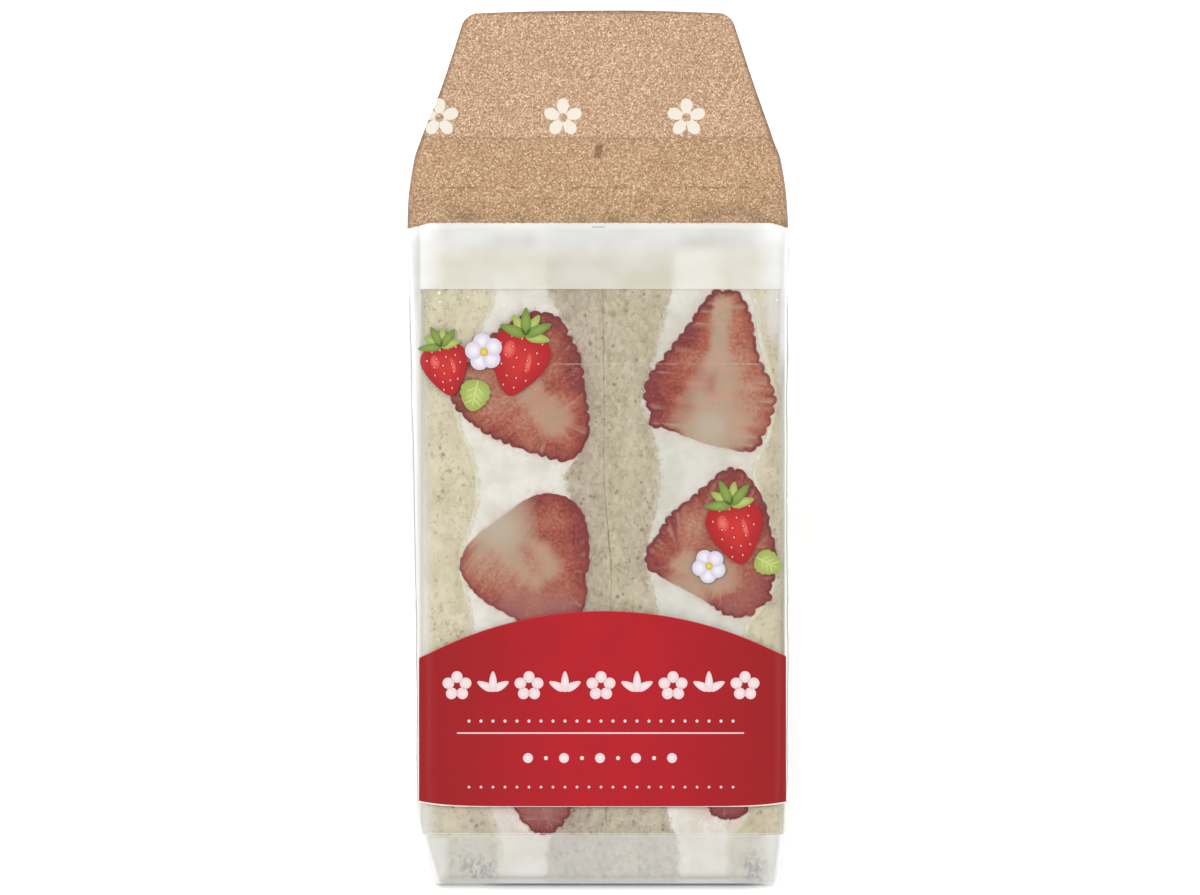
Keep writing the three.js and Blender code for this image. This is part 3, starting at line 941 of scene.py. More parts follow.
def layer_shell(left, right, leg_gap, corners, steps, relief, sides):
    """A closed layer between two borders, with its front corners rounded and its surface relief.
    The values named by sides hold the distance from each border."""
    across, deep, high = steps
    u = slice_heights(leg_gap, high)[:, None]
    ahead, behind = slice_profile(u, leg_gap)
    even = np.linspace(0, 1, across + 1)
    t = 0.5 * even + 0.5 * (0.5 - 0.5 * np.cos(math.pi * even))
    room = 0.48 * (ahead - behind)

    def drop(t, width):
        fall = 0.0
        for gap, corner in zip((t * width, (1 - t) * width), corners):
            r = np.minimum(corner, room)
            fall = fall + r - circle_height(r, np.maximum(r - gap, 0))
        return fall

    width = right(u, ahead) - left(u, ahead)
    n_front = ahead - drop(t, width)
    n_back = behind + drop(t[::-1], width)
    v = np.linspace(0, 1, deep + 1)[1:-1]
    n_right = n_front[:, -1:] + (n_back[:, :1] - n_front[:, -1:]) * v**1.5
    n_left = n_back[:, -1:] + (n_front[:, :1] - n_back[:, -1:]) * (1 - v[::-1] ** 1.5)
    rows = []
    for n, share, out_s, out_n in (
        (n_front, t, 0.0, 1.0),
        (n_right, np.ones_like(v), 1.0, 0.0),
        (n_back, t[::-1], 0.0, -1.0),
        (n_left, np.zeros_like(v), -1.0, 0.0),
    ):
        start = left(u, n)
        width = right(u, n) - start
        from_left = width * share
        rows.append(stacked(start + from_left, u, n, out_s, out_n, from_left, width * (1 - share)))
    s, u_all, n, out_s, out_n, from_left, from_right = np.moveaxis(np.concatenate(rows, 1), -1, 0)
    rise = relief(stacked(s, u_all, n)) * smooth(0, 0.9, np.minimum(from_left, from_right) + 9 * (n < -4))
    points = stacked(s + out_s * rise, u_all, n + out_n * rise)
    shell = loft_shell(points, 2 * across + deep)
    return {**shell, sides[0]: from_left.ravel(), sides[1]: from_right.ravel()}


def crumb_relief(seed):
    """Pores and soft bumps of a cut bread surface."""

    def relief(p):
        q = p * (1, 0.6, 1)
        pores = np.maximum(noise(q * 1.4, seed) - 0.4, 0) + np.maximum(noise(q * 0.8, seed + 1) - 0.45, 0)
        return 0.05 * noise(p * 2.2, seed + 2) + 0.1 * noise(p * 0.4, seed + 3) - 0.4 * pores

    return relief


def cream_relief(seed):
    return lambda p: 0.08 * noise(p * 0.25, seed) + 0.04 * noise(p * 0.9, seed + 1)


CREAM_LIGHT = (222, 219, 210)
CREAM_DEEP = (207, 203, 190)
CUSTARD_LIGHT = (204, 197, 170)
CUSTARD_DEEP = (197, 189, 160)
OUTER_BREAD = ((206, 198, 171), (194, 184, 155), (146, 134, 104))
INNER_BREAD = ((183, 172, 148), (169, 158, 133), (112, 102, 80))
# Ranges of s, with their soft edges, where dark patches of painted shadow from the crumbs lie at the lower
# end
FOOT_CRUMB_SHADOWS = [(-31.0, -22.0, 1.5), (31.5, 38.0, 1.5)]


def ragged(look, name, sign, reach=0.8):
    """Share of the neighbouring layer's colour, from the value that holds the distance from it. The
    two layers take opposite signs, so that the uneven blend runs on across their border."""
    wander = look.plus(look.noise(0.9, 3.0, 0.65), -0.5)
    uneven = look.math("MULTIPLY_ADD", wander, 3.4 * sign, look.value(name))
    return look.between(uneven, reach, -reach)


def shade_low_left(look):
    """Darkens a layer round the left border of the filling just above the label's foot."""
    look.tint((0.92, 0.9, 0.91), u=(LABEL_BOTTOM, 24.0, 2.0), s=(-29.5, -18.5, 2.0))


def bread_look(name, tones, beside, low_tint):
    """White bread cut across: soft crumb with sparse clusters of small pores, with painted shade in the pores
    and near its foot, where it is tinted.
    Its border with the filling, whose colour is beside, is uneven."""
    light, deep, pore = tones
    look = Look(name)
    place = look.scaled((1.0, 0.7, 1.0))
    crumb = look.noise(1.0, 3.0, 0.6, place=place)
    lines = look.strokes(place, 0.8, 0.035, 0.52)
    low = look.zone(u=(30.0, 14.0))
    cluster = look.plus(
        look.noise(0.25, 1.5, place=place),
        look.times(low, 0.05),
        look.zone(0.08, u=(15.0, 13.5)),
        look.zone(0.16, s=(-8.5, -1.5, 3.0), u=(86.0, 104.0, 6.0)),
    )
    holes = look.plus(look.cells(0.6), look.between(crumb, 0.35, 0.65, -0.1, 0.1))
    holes = look.times(look.between(holes, 0.27, 0.13), look.between(cluster, 0.5, 0.6))
    patches = look.between(look.noise(0.2, 3.0, 0.6, place=place), 0.36, 0.66)
    look.colour = look.mix(patches, light, deep)
    look.paint((220, 213, 192), look.between(crumb, 0.44, 0.7, 0.0, 0.28))
    look.paint(pore, look.between(crumb, 0.46, 0.3, 0.0, 0.26))
    look.tint((0.96, 0.98, 0.93), look.between(look.noise(0.13, place=place), 0.42, 0.62))
    # Pores and crumb streaks painted darker: painted shade in these hollows, which the bump also sinks.
    look.paint(pore, lines, 0.28)
    look.paint(pore, holes, 0.64)
    # Tinted towards the foot, less so low at the right; for the outer bread this darkening is painted shade.
    low_right = look.zone(s=(28.0, 33.0), u=(13.5, 15.0))
    look.tint(low_tint, low, look.math("MULTIPLY_ADD", low_right, -0.7, 1.0))
    look.tint((0.95, 0.93, 0.965), s=(-15.0, JOINT, 1.0))
    look.tint((0.91, 0.89, 0.91), s=(34.0, 38.0), u=(19.0, 30.0))
    # Pinkish grey beside the berries: partly their stain, partly painted shadow in the gap between berry and
    # bread.
    juice_and_shadow = look.between(look.noise(0.6), 0.35, 0.6, 0.5, 1.0)
    look.tint((0.78, 0.68, 0.7), juice_and_shadow, look.value("blush"))
    # Greyer crumb below the label: painted shade, where less light reaches.
    look.paint((140, 137, 128), look.between(crumb, 0.4, 0.56, 0.5, 0.0), u=(15.0, 9.0))
    # Dark patches at the lower end near both sides: painted shadows of the crumbs there.
    crumb_shadow_noise = look.noise(1.4, 3.0, 0.6, place=look.scaled((1.0, 0.8, 1.0)))
    for across in FOOT_CRUMB_SHADOWS:
        look.paint((78, 74, 67), 0.9, look.between(crumb_shadow_noise, 0.49, 0.55), u=(10.5, 7.5), s=across)
    dashes = look.between(look.noise(0.7), 0.38, 0.6, 0.0, 0.5)
    near_joint = {"joint": (0.32, 0.08), "s": (JOINT - 4, JOINT + 4, 1.0), "u": (73.0, 88.0, 5.0)}
    look.paint((112, 96, 72), dashes, **near_joint)
    look.paint(beside, ragged(look, "border", 1.0))
    shade_low_left(look)
    height = look.math("SUBTRACT", look.times(crumb, 0.5), look.plus(holes, lines))
    return look.set(
        Roughness=0.85,
        Normal=look.bump(height, 0.2, 0.6),
        Subsurface_Weight=0.1,
        Subsurface_Radius=(1.0, 0.8, 0.5),
        Subsurface_Scale=0.002,
    )


def cream_look():
    look = Look("whipped_cream")
    grain = look.noise(0.9, 3.0, 0.6)
    look.colour = look.mix(look.between(look.noise(0.16), 0.35, 0.7), CREAM_LIGHT, CREAM_DEEP)
    look.paint((200, 194, 180), look.between(grain, 0.35, 0.7, 0.0, 0.2))
    look.tint((0.89, 0.91, 0.9), s=(2.0, 14.0), u=(55.0, 134.5, 20.0))
    look.paint(INNER_BREAD[0], ragged(look, "bread", -1.0))
    look.paint(CUSTARD_LIGHT, ragged(look, "custard", -1.0))
    blush = look.value("blush")
    look.paint((208, 178, 168), blush, look.between(look.noise(0.45), 0.35, 0.65, 0.15, 0.8))
    near = look.most(blush, look.zone(bread=(1.6, 0.4)))
    look.paint((150, 136, 112), near, look.between(look.noise(1.6), 0.6, 0.68), 0.5)
    shade_low_left(look)
    return look.set(
        Roughness=0.42,
        Normal=look.bump(grain, 0.14, 0.5),
        Subsurface_Weight=0.2,
        Subsurface_Radius=(1.0, 0.9, 0.75),
        Subsurface_Scale=0.002,
    )


def custard_look():
    look = Look("custard")
    soft = look.noise(0.3)
    look.colour = look.mix(look.between(soft, 0.35, 0.7), CUSTARD_LIGHT, CUSTARD_DEEP)
    # Darker towards the foot: painted shadow of the crumbs beside it.
    look.tint((0.94, 0.92, 0.95), u=(30.0, 20.0))
    look.paint((84, 66, 48), look.between(look.cells(0.6), 0.13, 0.07), 0.7)
    look.paint(OUTER_BREAD[0], ragged(look, "bread", -1.0))
    look.paint(CREAM_LIGHT, ragged(look, "cream", 1.0))
    shade_low_left(look)
    return look.set(
        Roughness=0.6,
        Specular_IOR_Level=0.3,
        Normal=look.bump(soft, 0.2, 0.5),
        Subsurface_Weight=0.1,
        Subsurface_Scale=0.002,
    )


# Courses of the borders on the cut faces, as (y, x) in the photo
LEFT_BREAD = seam(
    [(240, 492), (300, 489), (337, 474), (400, 453), (430, 458), (462, 471), (505, 474),
     (545, 461), (575, 459), (610, 468), (720, 474), (815, 487), (842, 497), (882, 497)],
    straight=-25.0, seed=21,
)
LEFT_INNER_BREAD = seam(
    [(240, 547), (295, 549), (330, 568), (375, 579), (430, 586), (458, 577), (475, 565),
     (505, 572), (545, 586), (592, 582), (640, 572), (720, 565), (815, 562), (842, 548), (882, 547)],
    straight=-9.5, seed=23,
)
RIGHT_INNER_BREAD = seam(
    [(240, 674), (290, 671), (340, 659), (366, 652), (402, 642), (422, 649), (470, 660),
     (505, 657), (562, 646), (602, 656), (720, 661), (815, 667), (842, 677), (882, 678)],
    straight=12.0, seed=25,
)
RIGHT_BREAD = seam(
    [(240, 744), (285, 757), (340, 764), (400, 777), (438, 769), (470, 757), (505, 766),
     (548, 774), (578, 777), (602, 768), (632, 749), (720, 748), (815, 748), (842, 731), (882, 731)],
    straight=29.0, seed=27,
)
MIDDLE = seam(
    [(240, 602), (400, 604), (480, 604), (530, 608), (575, 611), (700, 608), (882, 605)],
    straight=JOINT, seed=31, wander=0.08,
)
LEFT_CUSTARD = [(0, 1.0), (30, 1.2), (70, 0.9), (110, 1.0), (135, 1.0), (146, 1.6)]
RIGHT_CUSTARD = [(0, -1.0), (12, -1.0), (40, -1.2), (80, -0.8), (115, -1.0), (134, -1.4), (146, -3.4)]
LEFT_CREAM = shifted(LEFT_BREAD, LEFT_CUSTARD)
RIGHT_CREAM = shifted(RIGHT_BREAD, RIGHT_CUSTARD)


def berry_nearness(points, berry_outlines, further):
    """How near each point of a layer lies to the berries, on its cut face: it sets the berries' stain and the
    painted shadow beside them.
    """
    cut = points[:, 2] > -1.5
    spots = points[cut, :2]
    gap = np.min([edge_distance(spots, outline) for outline in berry_outlines], axis=0)
    reach = 1.1 + further + 2.6 * smooth(30, 22, spots[:, 1])
    blush = np.zeros(len(points))
    blush[cut] = np.exp(-np.maximum(gap, 0) / reach)
    return blush


# Of each kind of layer: its gap from the film under the leg, its steps across, deep and up, its
# relief, and how much further the berries' stain and the painted shadow beside them reach in it
KINDS = {
    "bread": (SLICE_LEG_GAP, (36, 14, 230), crumb_relief, 0.5),
    "whipped_cream": (FILLING_LEG_GAP, (44, 12, 210), cream_relief, 0.0),
    "custard": (FILLING_LEG_GAP, (8, 10, 210), cream_relief, None),
}

# Of each layer: its kind, its borders, the radii of its front corners, the values that hold the
# distance from what lies at its left and at its right, and its seed
LAYERS = {
    "bread_left_outer": ("bread", left_face, LEFT_BREAD, (OUTER_CORNER, SHARP), ("joint", "border"), 60),
    "bread_left_inner": ("bread", LEFT_INNER_BREAD, MIDDLE, (SHARP, JOINT_CORNER), ("border", "joint"), 64),
    "bread_right_inner": ("bread", MIDDLE, RIGHT_INNER_BREAD, (JOINT_CORNER, SHARP), ("joint", "border"), 68),
    "bread_right_outer": ("bread", RIGHT_BREAD, right_face, (SHARP, OUTER_CORNER), ("border", "joint"), 72),
    "cream_left": ("whipped_cream", LEFT_CREAM, LEFT_INNER_BREAD, UNROUNDED, ("custard", "bread"), 80),
    "cream_right": ("whipped_cream", RIGHT_INNER_BREAD, RIGHT_CREAM, UNROUNDED, ("bread", "custard"), 84),
    "custard_left": ("custard", LEFT_BREAD, LEFT_CREAM, UNROUNDED, ("bread", "cream"), 90),
    "custard_right": ("custard", RIGHT_CREAM, RIGHT_BREAD, UNROUNDED, ("cream", "bread"), 94),
}


def make_layers(berry_outlines):
    outer = bread_look("outer_bread", OUTER_BREAD, CUSTARD_LIGHT, (0.9, 0.89, 0.95))
    inner = bread_look("inner_bread", INNER_BREAD, CREAM_DEEP, (1.0, 1.0, 1.05))
    looks = {"whipped_cream": cream_look(), "custard": custard_look()}
    for name, (kind, left, right, corners, sides, seed) in LAYERS.items():
        leg_gap, steps, relief, further = KINDS[kind]
        shell = layer_shell(left, right, leg_gap, corners, steps, relief(seed), sides)
        if further is not None:
            shell["blush"] = berry_nearness(shell["points"], berry_outlines, further)
        piece(name, shell, looks.get(kind, outer if name.endswith("outer") else inner))


# Strawberry halves, cut face to the front. Of each, outline is in the photo's pixels. core is the
# line of its pale core with the half width at both ends in millimetres. fade is the place and
# reach where the rim fades, on the side that the leaves were cut from. warm is the direction, in
# degrees from +s, in which the flesh is redder, and by how much. lobes is how strong the bumps
# between the seeds are. Each spot is a pixel, its reach in millimetres, and how much redder, paler
# and more mauve (greyer, below zero) the flesh is there.
BERRIES = {
    "upper_left": {
        "outline": [(528, 314), (545, 312), (560, 319), (570, 336), (579, 353), (583, 375), (587, 402),
                    (589, 431), (583, 448), (571, 460), (556, 460), (524, 450), (494, 438), (469, 421),
                    (452, 401), (457, 384), (468, 362), (485, 342), (505, 325)],
        "core": ((527, 388), (553, 421), 2.6, 3.4),
        "warm": (30, 0.06),
        "pale": 0.78,
        "rim": 1.0,
        "lobes": 0.85,
        "spots": [(468, 404, 3.6, 0.2, -0.4, 0.2), (510, 420, 5.0, 0.1, -0.5, 0.0),
                  (548, 330, 5.0, 0.1, -0.4, 0.2), (575, 448, 3.0, 0.2, -0.5, 0.0),
                  (571, 372, 4.0, 0.12, -0.25, 0.1)],
    },
    "upper_right": {
        "outline": [(724, 290), (736, 291), (746, 303), (752, 320), (757, 350), (764, 368), (771, 382),
                    (776, 400), (770, 422), (763, 436), (759, 447), (746, 452), (726, 448), (696, 440),
                    (664, 428), (650, 426), (650, 412), (644, 398), (648, 378), (660, 361), (686, 328),
                    (697, 311), (713, 291)],
        "core": ((722, 304), (711, 440), 1.8, 7.4),
        "fade": (702, 462, 11.0),
        "warm": (165, 0.16),
        "pale": 1.0,
        "rim": 0.9,
        "lobes": 0.9,
        "spots": [(712, 378, 1.6, 0.0, -0.4, 0.0), (711, 388, 1.6, 0.0, -0.4, 0.0),
                  (752, 415, 4.5, -0.25, 0.1, 0.2), (745, 435, 3.0, -0.1, 0.2, 0.2),
                  (711, 428, 4.5, 0.0, 0.1, -0.9), (658, 398, 4.0, 0.2, -0.3, 0.0)],
    },
    "middle_left": {
        "outline": [(541, 494), (560, 495), (574, 502), (584, 516), (589, 540), (589, 566), (585, 576),
                    (587, 592), (577, 620), (545, 634), (510, 616), (478, 596), (460, 570), (464, 552),
                    (474, 538), (503, 516), (524, 501)],
        "core": ((492, 530), (536, 562), 6.2, 5.0),
        "fade": (490, 512, 12.0),
        "warm": (5, 0.16),
        "pale": 0.95,
        "rim": 0.55,
        "lobes": 0.28,
        "spots": [(524, 549, 1.7, 0.0, -0.5, 0.0), (529, 559, 1.8, 0.05, -0.55, 0.0),
                  (535, 570, 1.7, 0.0, -0.5, 0.0), (498, 528, 6.0, 0.0, 0.0, -0.8),
                  (474, 564, 4.0, -0.4, 0.2, 0.5), (515, 606, 5.5, 0.15, -0.5, 0.9),
                  (560, 612, 5.0, 0.15, -0.4, 0.9), (570, 525, 5.5, 0.25, -0.8, 0.0),
                  (573, 560, 3.6, 0.12, -0.3, 0.1)],
    },
    "middle_right": {
        "outline": [(716, 476), (728, 468), (742, 471), (754, 484), (766, 506), (771, 532), (776, 550),
                    (775, 576), (771, 588), (770, 600), (758, 608), (748, 617), (726, 615), (704, 600),
                    (665, 579), (648, 568), (646, 552), (656, 536), (670, 515), (688, 500), (701, 489)],
        "core": ((684, 562), (722, 578), 2.6, 4.4),
        "fade": (680, 604, 9.0),
        "warm": (115, 0.1),
        "pale": 0.8,
        "rim": 0.9,
        "lobes": 0.85,
        "spots": [(755, 590, 5.0, 0.45, -0.7, 0.5), (730, 610, 3.6, 0.1, -0.5, 0.7),
                  (654, 560, 2.6, 0.2, -0.6, 0.2), (700, 530, 4.0, -0.15, 0.1, 0.1),
                  (705, 575, 5.0, 0.0, 0.1, -0.4)],
    },
    "lower_left": {
        "outline": [(545, 835), (566, 820), (574, 795), (572, 760), (556, 735), (528, 738),
                    (512, 765), (511, 797), (524, 823)],
        "core": ((546, 770), (548, 818), 2.0, 1.4),
        "warm": (270, 0.16),
        "pale": 0.35,
        "rim": 1.0,
        "lobes": 0.6,
        "spots": [(545, 810, 7.0, 0.3, -0.1, 1.0), (545, 832, 3.6, 0.4, -0.3, -0.4)],
    },
    "lower_right": {
        "outline": [(731, 819), (744, 815), (751, 804), (757, 783), (751, 752), (728, 738), (706, 752),
                    (699, 783), (707, 806), (716, 817)],
        "core": ((726, 765), (726, 800), 2.0, 1.2),
        "warm": (270, 0.16),
        "pale": 0.2,
        "rim": 1.0,
        "lobes": 0.6,
        "spots": [(728, 806, 6.0, 0.6, -0.3, 0.5)],
    },
}
RIM_POINTS = 340
LOBE_SPACING = 2.7
LOBE_DEPTH = 0.9
BERRY_DEPTH = 12.0
CUT_RINGS = 40
BACK_RINGS = 9


def berry_outline(berry, seed):
    """The smooth outline in (s, u), and the same with small lobes between the dents of the seeds."""
    line = closed_curve([from_photo(x, y) for x, y in berry["outline"]], RIM_POINTS)
    ahead = np.roll(line, -1, 0) - np.roll(line, 1, 0)
    normal = np.column_stack([ahead[:, 1], -ahead[:, 0]])
    normal /= np.linalg.norm(normal, axis=1, keepdims=True)
    normal *= np.sign((normal * (line - line.mean(0))).sum(1))[:, None]
    length = np.linalg.norm(np.roll(line, -1, 0) - line, axis=1).sum()
    lobes = round(length / LOBE_SPACING)
    turn = np.linspace(0, 2 * math.pi, RIM_POINTS, endpoint=False)
    circle = np.column_stack([np.cos(turn), np.sin(turn), 0 * turn])
    wander = 1.3 * noise(circle * 2.2, seed) + 0.7 * noise(circle * 6, seed + 1)
    lobe = np.abs(np.sin(turn * lobes / 2 + wander)) ** 0.5
    size = berry["lobes"] * (0.95 + 0.5 * noise(circle * 7, seed + 2))
    if "fade" in berry:
        x, y, reach = berry["fade"]
        size = size * smooth(0.5 * reach, 1.1 * reach, distance_from(x, y, line))
    uneven = 0.14 * noise(circle * 24, seed + 3)
    return line, line + normal * (LOBE_DEPTH * (lobe - 0.7) * size + uneven)[:, None]


def flesh_values(points, outline, berry, seed):
    """Redness, paleness, mauve, rim strength and depth under the rim of each point of a berry."""
    p = points[:, :2]
    depth = np.maximum(-edge_distance(p, outline), 0)
    first, last, low_width, high_width = berry["core"]
    t, off, gap = segment_gap(p, from_photo(*first), from_photo(*last))
    aim = off / np.maximum(gap, 1e-6)[:, None]
    turn = np.column_stack([aim * 2.8, t * 9])
    fibre = noise(turn, seed) * 0.5 + noise(turn * 2.6, seed + 1) * 0.4
    fibre = fibre + noise(turn * 4.5, seed + 6) * 0.3
    patch = noise(stacked(p[:, 0] * 0.3, p[:, 1] * 0.3, seed), seed + 2)
    warm, warmth = math.radians(berry["warm"][0]), berry["warm"][1]
    towards = aim @ np.array([math.cos(warm), math.sin(warm)]) * warmth
    near_rim = smooth(5.5, 0.3, depth)
    red = 0.36 + 0.38 * near_rim + towards + (0.18 + 0.22 * near_rim) * fibre + 0.2 * patch
    width = low_width + (high_width - low_width) * smooth(0.3, 0.85, t)
    pale = smooth(1.6, 0.45, gap / width + 0.35 * fibre + 0.25 * patch) * berry["pale"]
    vein = np.maximum(noise(turn * 5 + 3, seed + 4) - 0.25, 0) * smooth(0.3, 1.2, depth) * near_rim
    pale = pale + 1.3 * vein
    uneven = noise(stacked(p[:, 0] * 0.35, p[:, 1] * 0.35, 1), seed + 3)
    rim = berry["rim"] * np.clip(0.8 + 0.45 * uneven + towards, 0, 1)
    if "fade" in berry:
        x, y, reach = berry["fade"]
        kept = smooth(0.5 * reach, reach, distance_from(x, y, p))
        rim = rim * kept
        pale = np.maximum(pale, (1 - kept) * 0.8)
    mauve = 0 * depth
    for x, y, reach, redder, paler, cooler in berry["spots"]:
        near = np.exp(-((distance_from(x, y, p) / reach) ** 2))
        red = red + redder * near
        pale = pale + paler * near
        mauve = mauve + cooler * near
    skin = points[:, 2] < BERRY_FRONT - 0.9
    return {
        "red": np.where(skin, 1.0, np.clip(red, 0, 1)),
        "pale": np.where(skin, 0.0, np.clip(pale, 0, 1)),
        "mauve": np.clip(mauve, -1, 1),
        "rim": np.where(skin, 1.0, np.clip(rim, 0, 1)),
        "depth": np.where(skin, 0.0, depth),
    }


def make_berry(name, berry, look, seed):
    """A half berry: a nearly flat cut face, and a rounded back sunk in the cream."""
    even, outline = berry_outline(berry, seed)
    centre = outline.mean(0)
    reach = np.sin(np.linspace(0, math.pi / 2, CUT_RINGS + 1))[1:]
    share = reach[:, None, None]
    flat = centre + (even - centre) * share + (outline - even) * share**10
    soft_edge = 0.12 * np.maximum(0, (reach - 0.97) / 0.03) ** 2
    grain = 0.04 * noise(stacked(flat[..., 0] * 0.55, flat[..., 1] * 0.55, 0), seed + 4)
    n_front = BERRY_FRONT + 0.06 * (1 - reach**2)[:, None] + grain - soft_edge[:, None]
    rings = [np.concatenate([flat, n_front[..., None]], -1)]
    for angle in np.linspace(0, math.pi / 2, BACK_RINGS + 1)[1:]:
        ring = centre + (outline - centre) * (math.cos(angle) * 0.985 + 0.015)
        rings.append(np.column_stack([ring, n_front[-1] - BERRY_DEPTH * math.sin(angle)])[None])
    rings = np.concatenate(rings)
    rows, count = rings.shape[:2]
    ends = [[*centre, BERRY_FRONT + 0.1], [*centre, BERRY_FRONT - BERRY_DEPTH - 0.4]]
    points = np.concatenate([rings.reshape(-1, 3), ends])
    k = np.arange(count)
    beside = (k + 1) % count
    last = (rows - 1) * count
    first_cap = stacked(rows * count, k, beside, beside)
    last_cap = stacked(rows * count + 1, last + beside, last + k, last + k)
    faces = np.concatenate([grid_faces(rows, count, True), first_cap, last_cap])
    shell = facing_out({"points": points, "faces": faces})
    shell.update(flesh_values(points, outline, berry, seed + 5))
    piece(f"strawberry_{name}", shell, look)
    return outline


def berry_look():
    """Wet cut strawberry: red to pink flesh with fibres, a pale core and a dark rim of skin."""
    look = Look("cut_strawberry")
    fine = look.noise(1.3, 3.0, 0.65)
    patch = look.noise(0.4)
    red = look.plus(look.value("red"), look.between(fine, 0.3, 0.7, -0.2, 0.2))
    look.colour = look.ramp(red, [
        (0.0, (176, 130, 108)),
        (0.25, (166, 104, 80)),
        (0.5, (154, 76, 52)),
        (0.75, (138, 50, 38)),
        (1.0, (112, 20, 28)),
    ])
    look.paint((150, 92, 88), mauve=(0.0, 1.0, 0.0, 0.7))
    core = look.mix(look.between(patch, 0.35, 0.65), (178, 138, 115), (163, 141, 116))
    core = look.mix(look.between(fine, 0.35, 0.7, 0.0, 0.4), core, (184, 152, 128))
    look.paint(core, look.value("pale"))
    look.paint((174, 162, 141), mauve=(0.0, -1.0))
    # Sparse pale specks: painted highlights of the wet flesh.
    look.paint((228, 180, 160), look.between(look.cells(0.8), 0.16, 0.08), 0.3)
    depth = look.plus(look.value("depth"), look.between(fine, 0.25, 0.75, -0.35, 0.35))
    look.paint((130, 36, 34), look.between(depth, 2.4, 0.7), look.value("rim"), 0.4)
    look.paint((98, 6, 14), look.between(depth, 0.85, 0.4), look.value("rim"), 0.92)
    return look.set(
        Roughness=0.3,
        Normal=look.bump(look.plus(fine, patch), 0.14, 0.5),
        Specular_IOR_Level=0.3,
        Subsurface_Weight=0.06,
        Subsurface_Radius=(1.0, 0.4, 0.3),
        Subsurface_Scale=0.0015,
    )


# The clear label, and the bubbles under it: a pixel of the photo and the half width in millimetres
LABEL_BUBBLES = [(439, 293, 0.25), (440, 302, 0.12), (504, 306, 0.1), (777, 300, 0.15), (468, 297, 0.08)]


def label_row(u, inset, columns=90):
    t = 0.5 - 0.5 * np.cos(np.linspace(0, math.pi, columns))
    s = LABEL_LEFT + inset + (LABEL_RIGHT - LABEL_LEFT - 2 * inset) * t
    return np.column_stack([s, np.full(columns, u)])


def make_label():
    low = LABEL_BOTTOM + LABEL_CORNER
    high = LABEL_TOP - LABEL_CORNER
    angles = np.linspace(0, math.pi / 2, 6, endpoint=False)
    turns = [(LABEL_CORNER * math.cos(a), LABEL_CORNER * (1 - math.sin(a))) for a in angles]
    rows = [label_row(low - rise, inset) for rise, inset in turns]
    rows += [label_row(u, 0) for u in np.linspace(low, high, 90)]
    rows += [label_row(high + rise, inset) for rise, inset in turns[::-1]]
    s, u = np.moveaxis(np.array(rows), -1, 0)
    shell = sheet_on(front_film, s, u, LABEL_BACK, LABEL_FACE)
    label = piece("label", shell, label_look(), sharp=40)
    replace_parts(label, "front_label")


def label_look():
    """Clear sticker film, with a pale cut edge, a few bubbles and one fine crease across it."""
    look = Look("label_film")
    crease = look.zone(
        look.between(look.off(look.u, LABEL_CREASE_U), 0.17, 0.05),
        look.between(look.noise(0.3, place=look.scaled((1.0, 0.1, 0.1))), 0.35, 0.6, 0.1, 1.0),
        s=(-11.0, 36.5, 4.0),
    )
    between_sides = look.zone(s=(LABEL_LEFT + 0.3, LABEL_RIGHT - 0.3, 0.3))
    top = look.zone(u=(LABEL_TOP - 0.3, LABEL_TOP - 0.1))
    spots = [(*from_photo(x, y), size, size) for x, y, size in LABEL_BUBBLES]
    alpha = look.most(
        look.times(crease, 0.18),
        look.times(look.math("SUBTRACT", 1.0, between_sides), 0.2),
        look.times(top, 0.08),
        look.zone(0.35, u=(LABEL_BOTTOM + 0.25, LABEL_BOTTOM)),
        *(look.times(spot_mask(look, spot, 0.3), 0.6) for spot in spots),
    )
    look.colour = look.mix(crease, (246, 244, 234), (240, 206, 184))
    # Painted shadow along the label's top edge.
    look.paint((170, 162, 124), top)
    return look.set(Roughness=0.16, Alpha=look.plus(alpha, 0.015), Specular_IOR_Level=0.6)


# The print on the label

INK_STEP = 0.035
BAND_MIDDLE = 0.9
BAND_RADIUS = 84.5
BAND_APEX = 63.5
BAND_FOOT = 20.7
BAND_FOOT_RISE = 1.15
BAND_EDGE = 0.22

# Rows of marks on the red field, in the photo's pixels: first x, spacing and count. DOTS holds the
# y and the millimetres of the dots. RULE holds both ends and the y of the rule.
BLOSSOM_ROW = (457, 36, 9)
BLOSSOM_Y = 686
DOT_ROW = (469, 12, 23)
DOTS = ((721, 0.7), (787, 0.6))
BEAD_ROW = (528, 18, 9)
BEAD_Y = 758
RULE = (457, 744, 733)
RULE_HALF = 0.16

# Of each ink: its colour in the middle of a shape and at its edge
INKS = {
    "foot_white": ((236, 214, 210), (240, 232, 228)),
    "red_edge": ((200, 30, 44), (196, 40, 50)),
    "band_red": ((175, 20, 32), (150, 20, 26)),
    "white": ((234, 218, 218), (224, 200, 202)),
    "berry_red": ((196, 50, 48), (168, 32, 38)),
    "deep_red": ((168, 34, 38), (160, 30, 34)),
    "gloss_pink": ((222, 108, 96), (208, 70, 66)),
    "seed": ((236, 172, 156), (226, 138, 126)),
    "leaf_dark": ((138, 158, 78), (108, 134, 60)),
    "leaf_light": ((180, 190, 110), (152, 166, 84)),
    "leaf_vein": ((204, 212, 140), (196, 204, 130)),
    "petal": ((232, 228, 234), (204, 196, 212)),
    "heart": ((220, 206, 96), (200, 170, 66)),
}
printed = {}


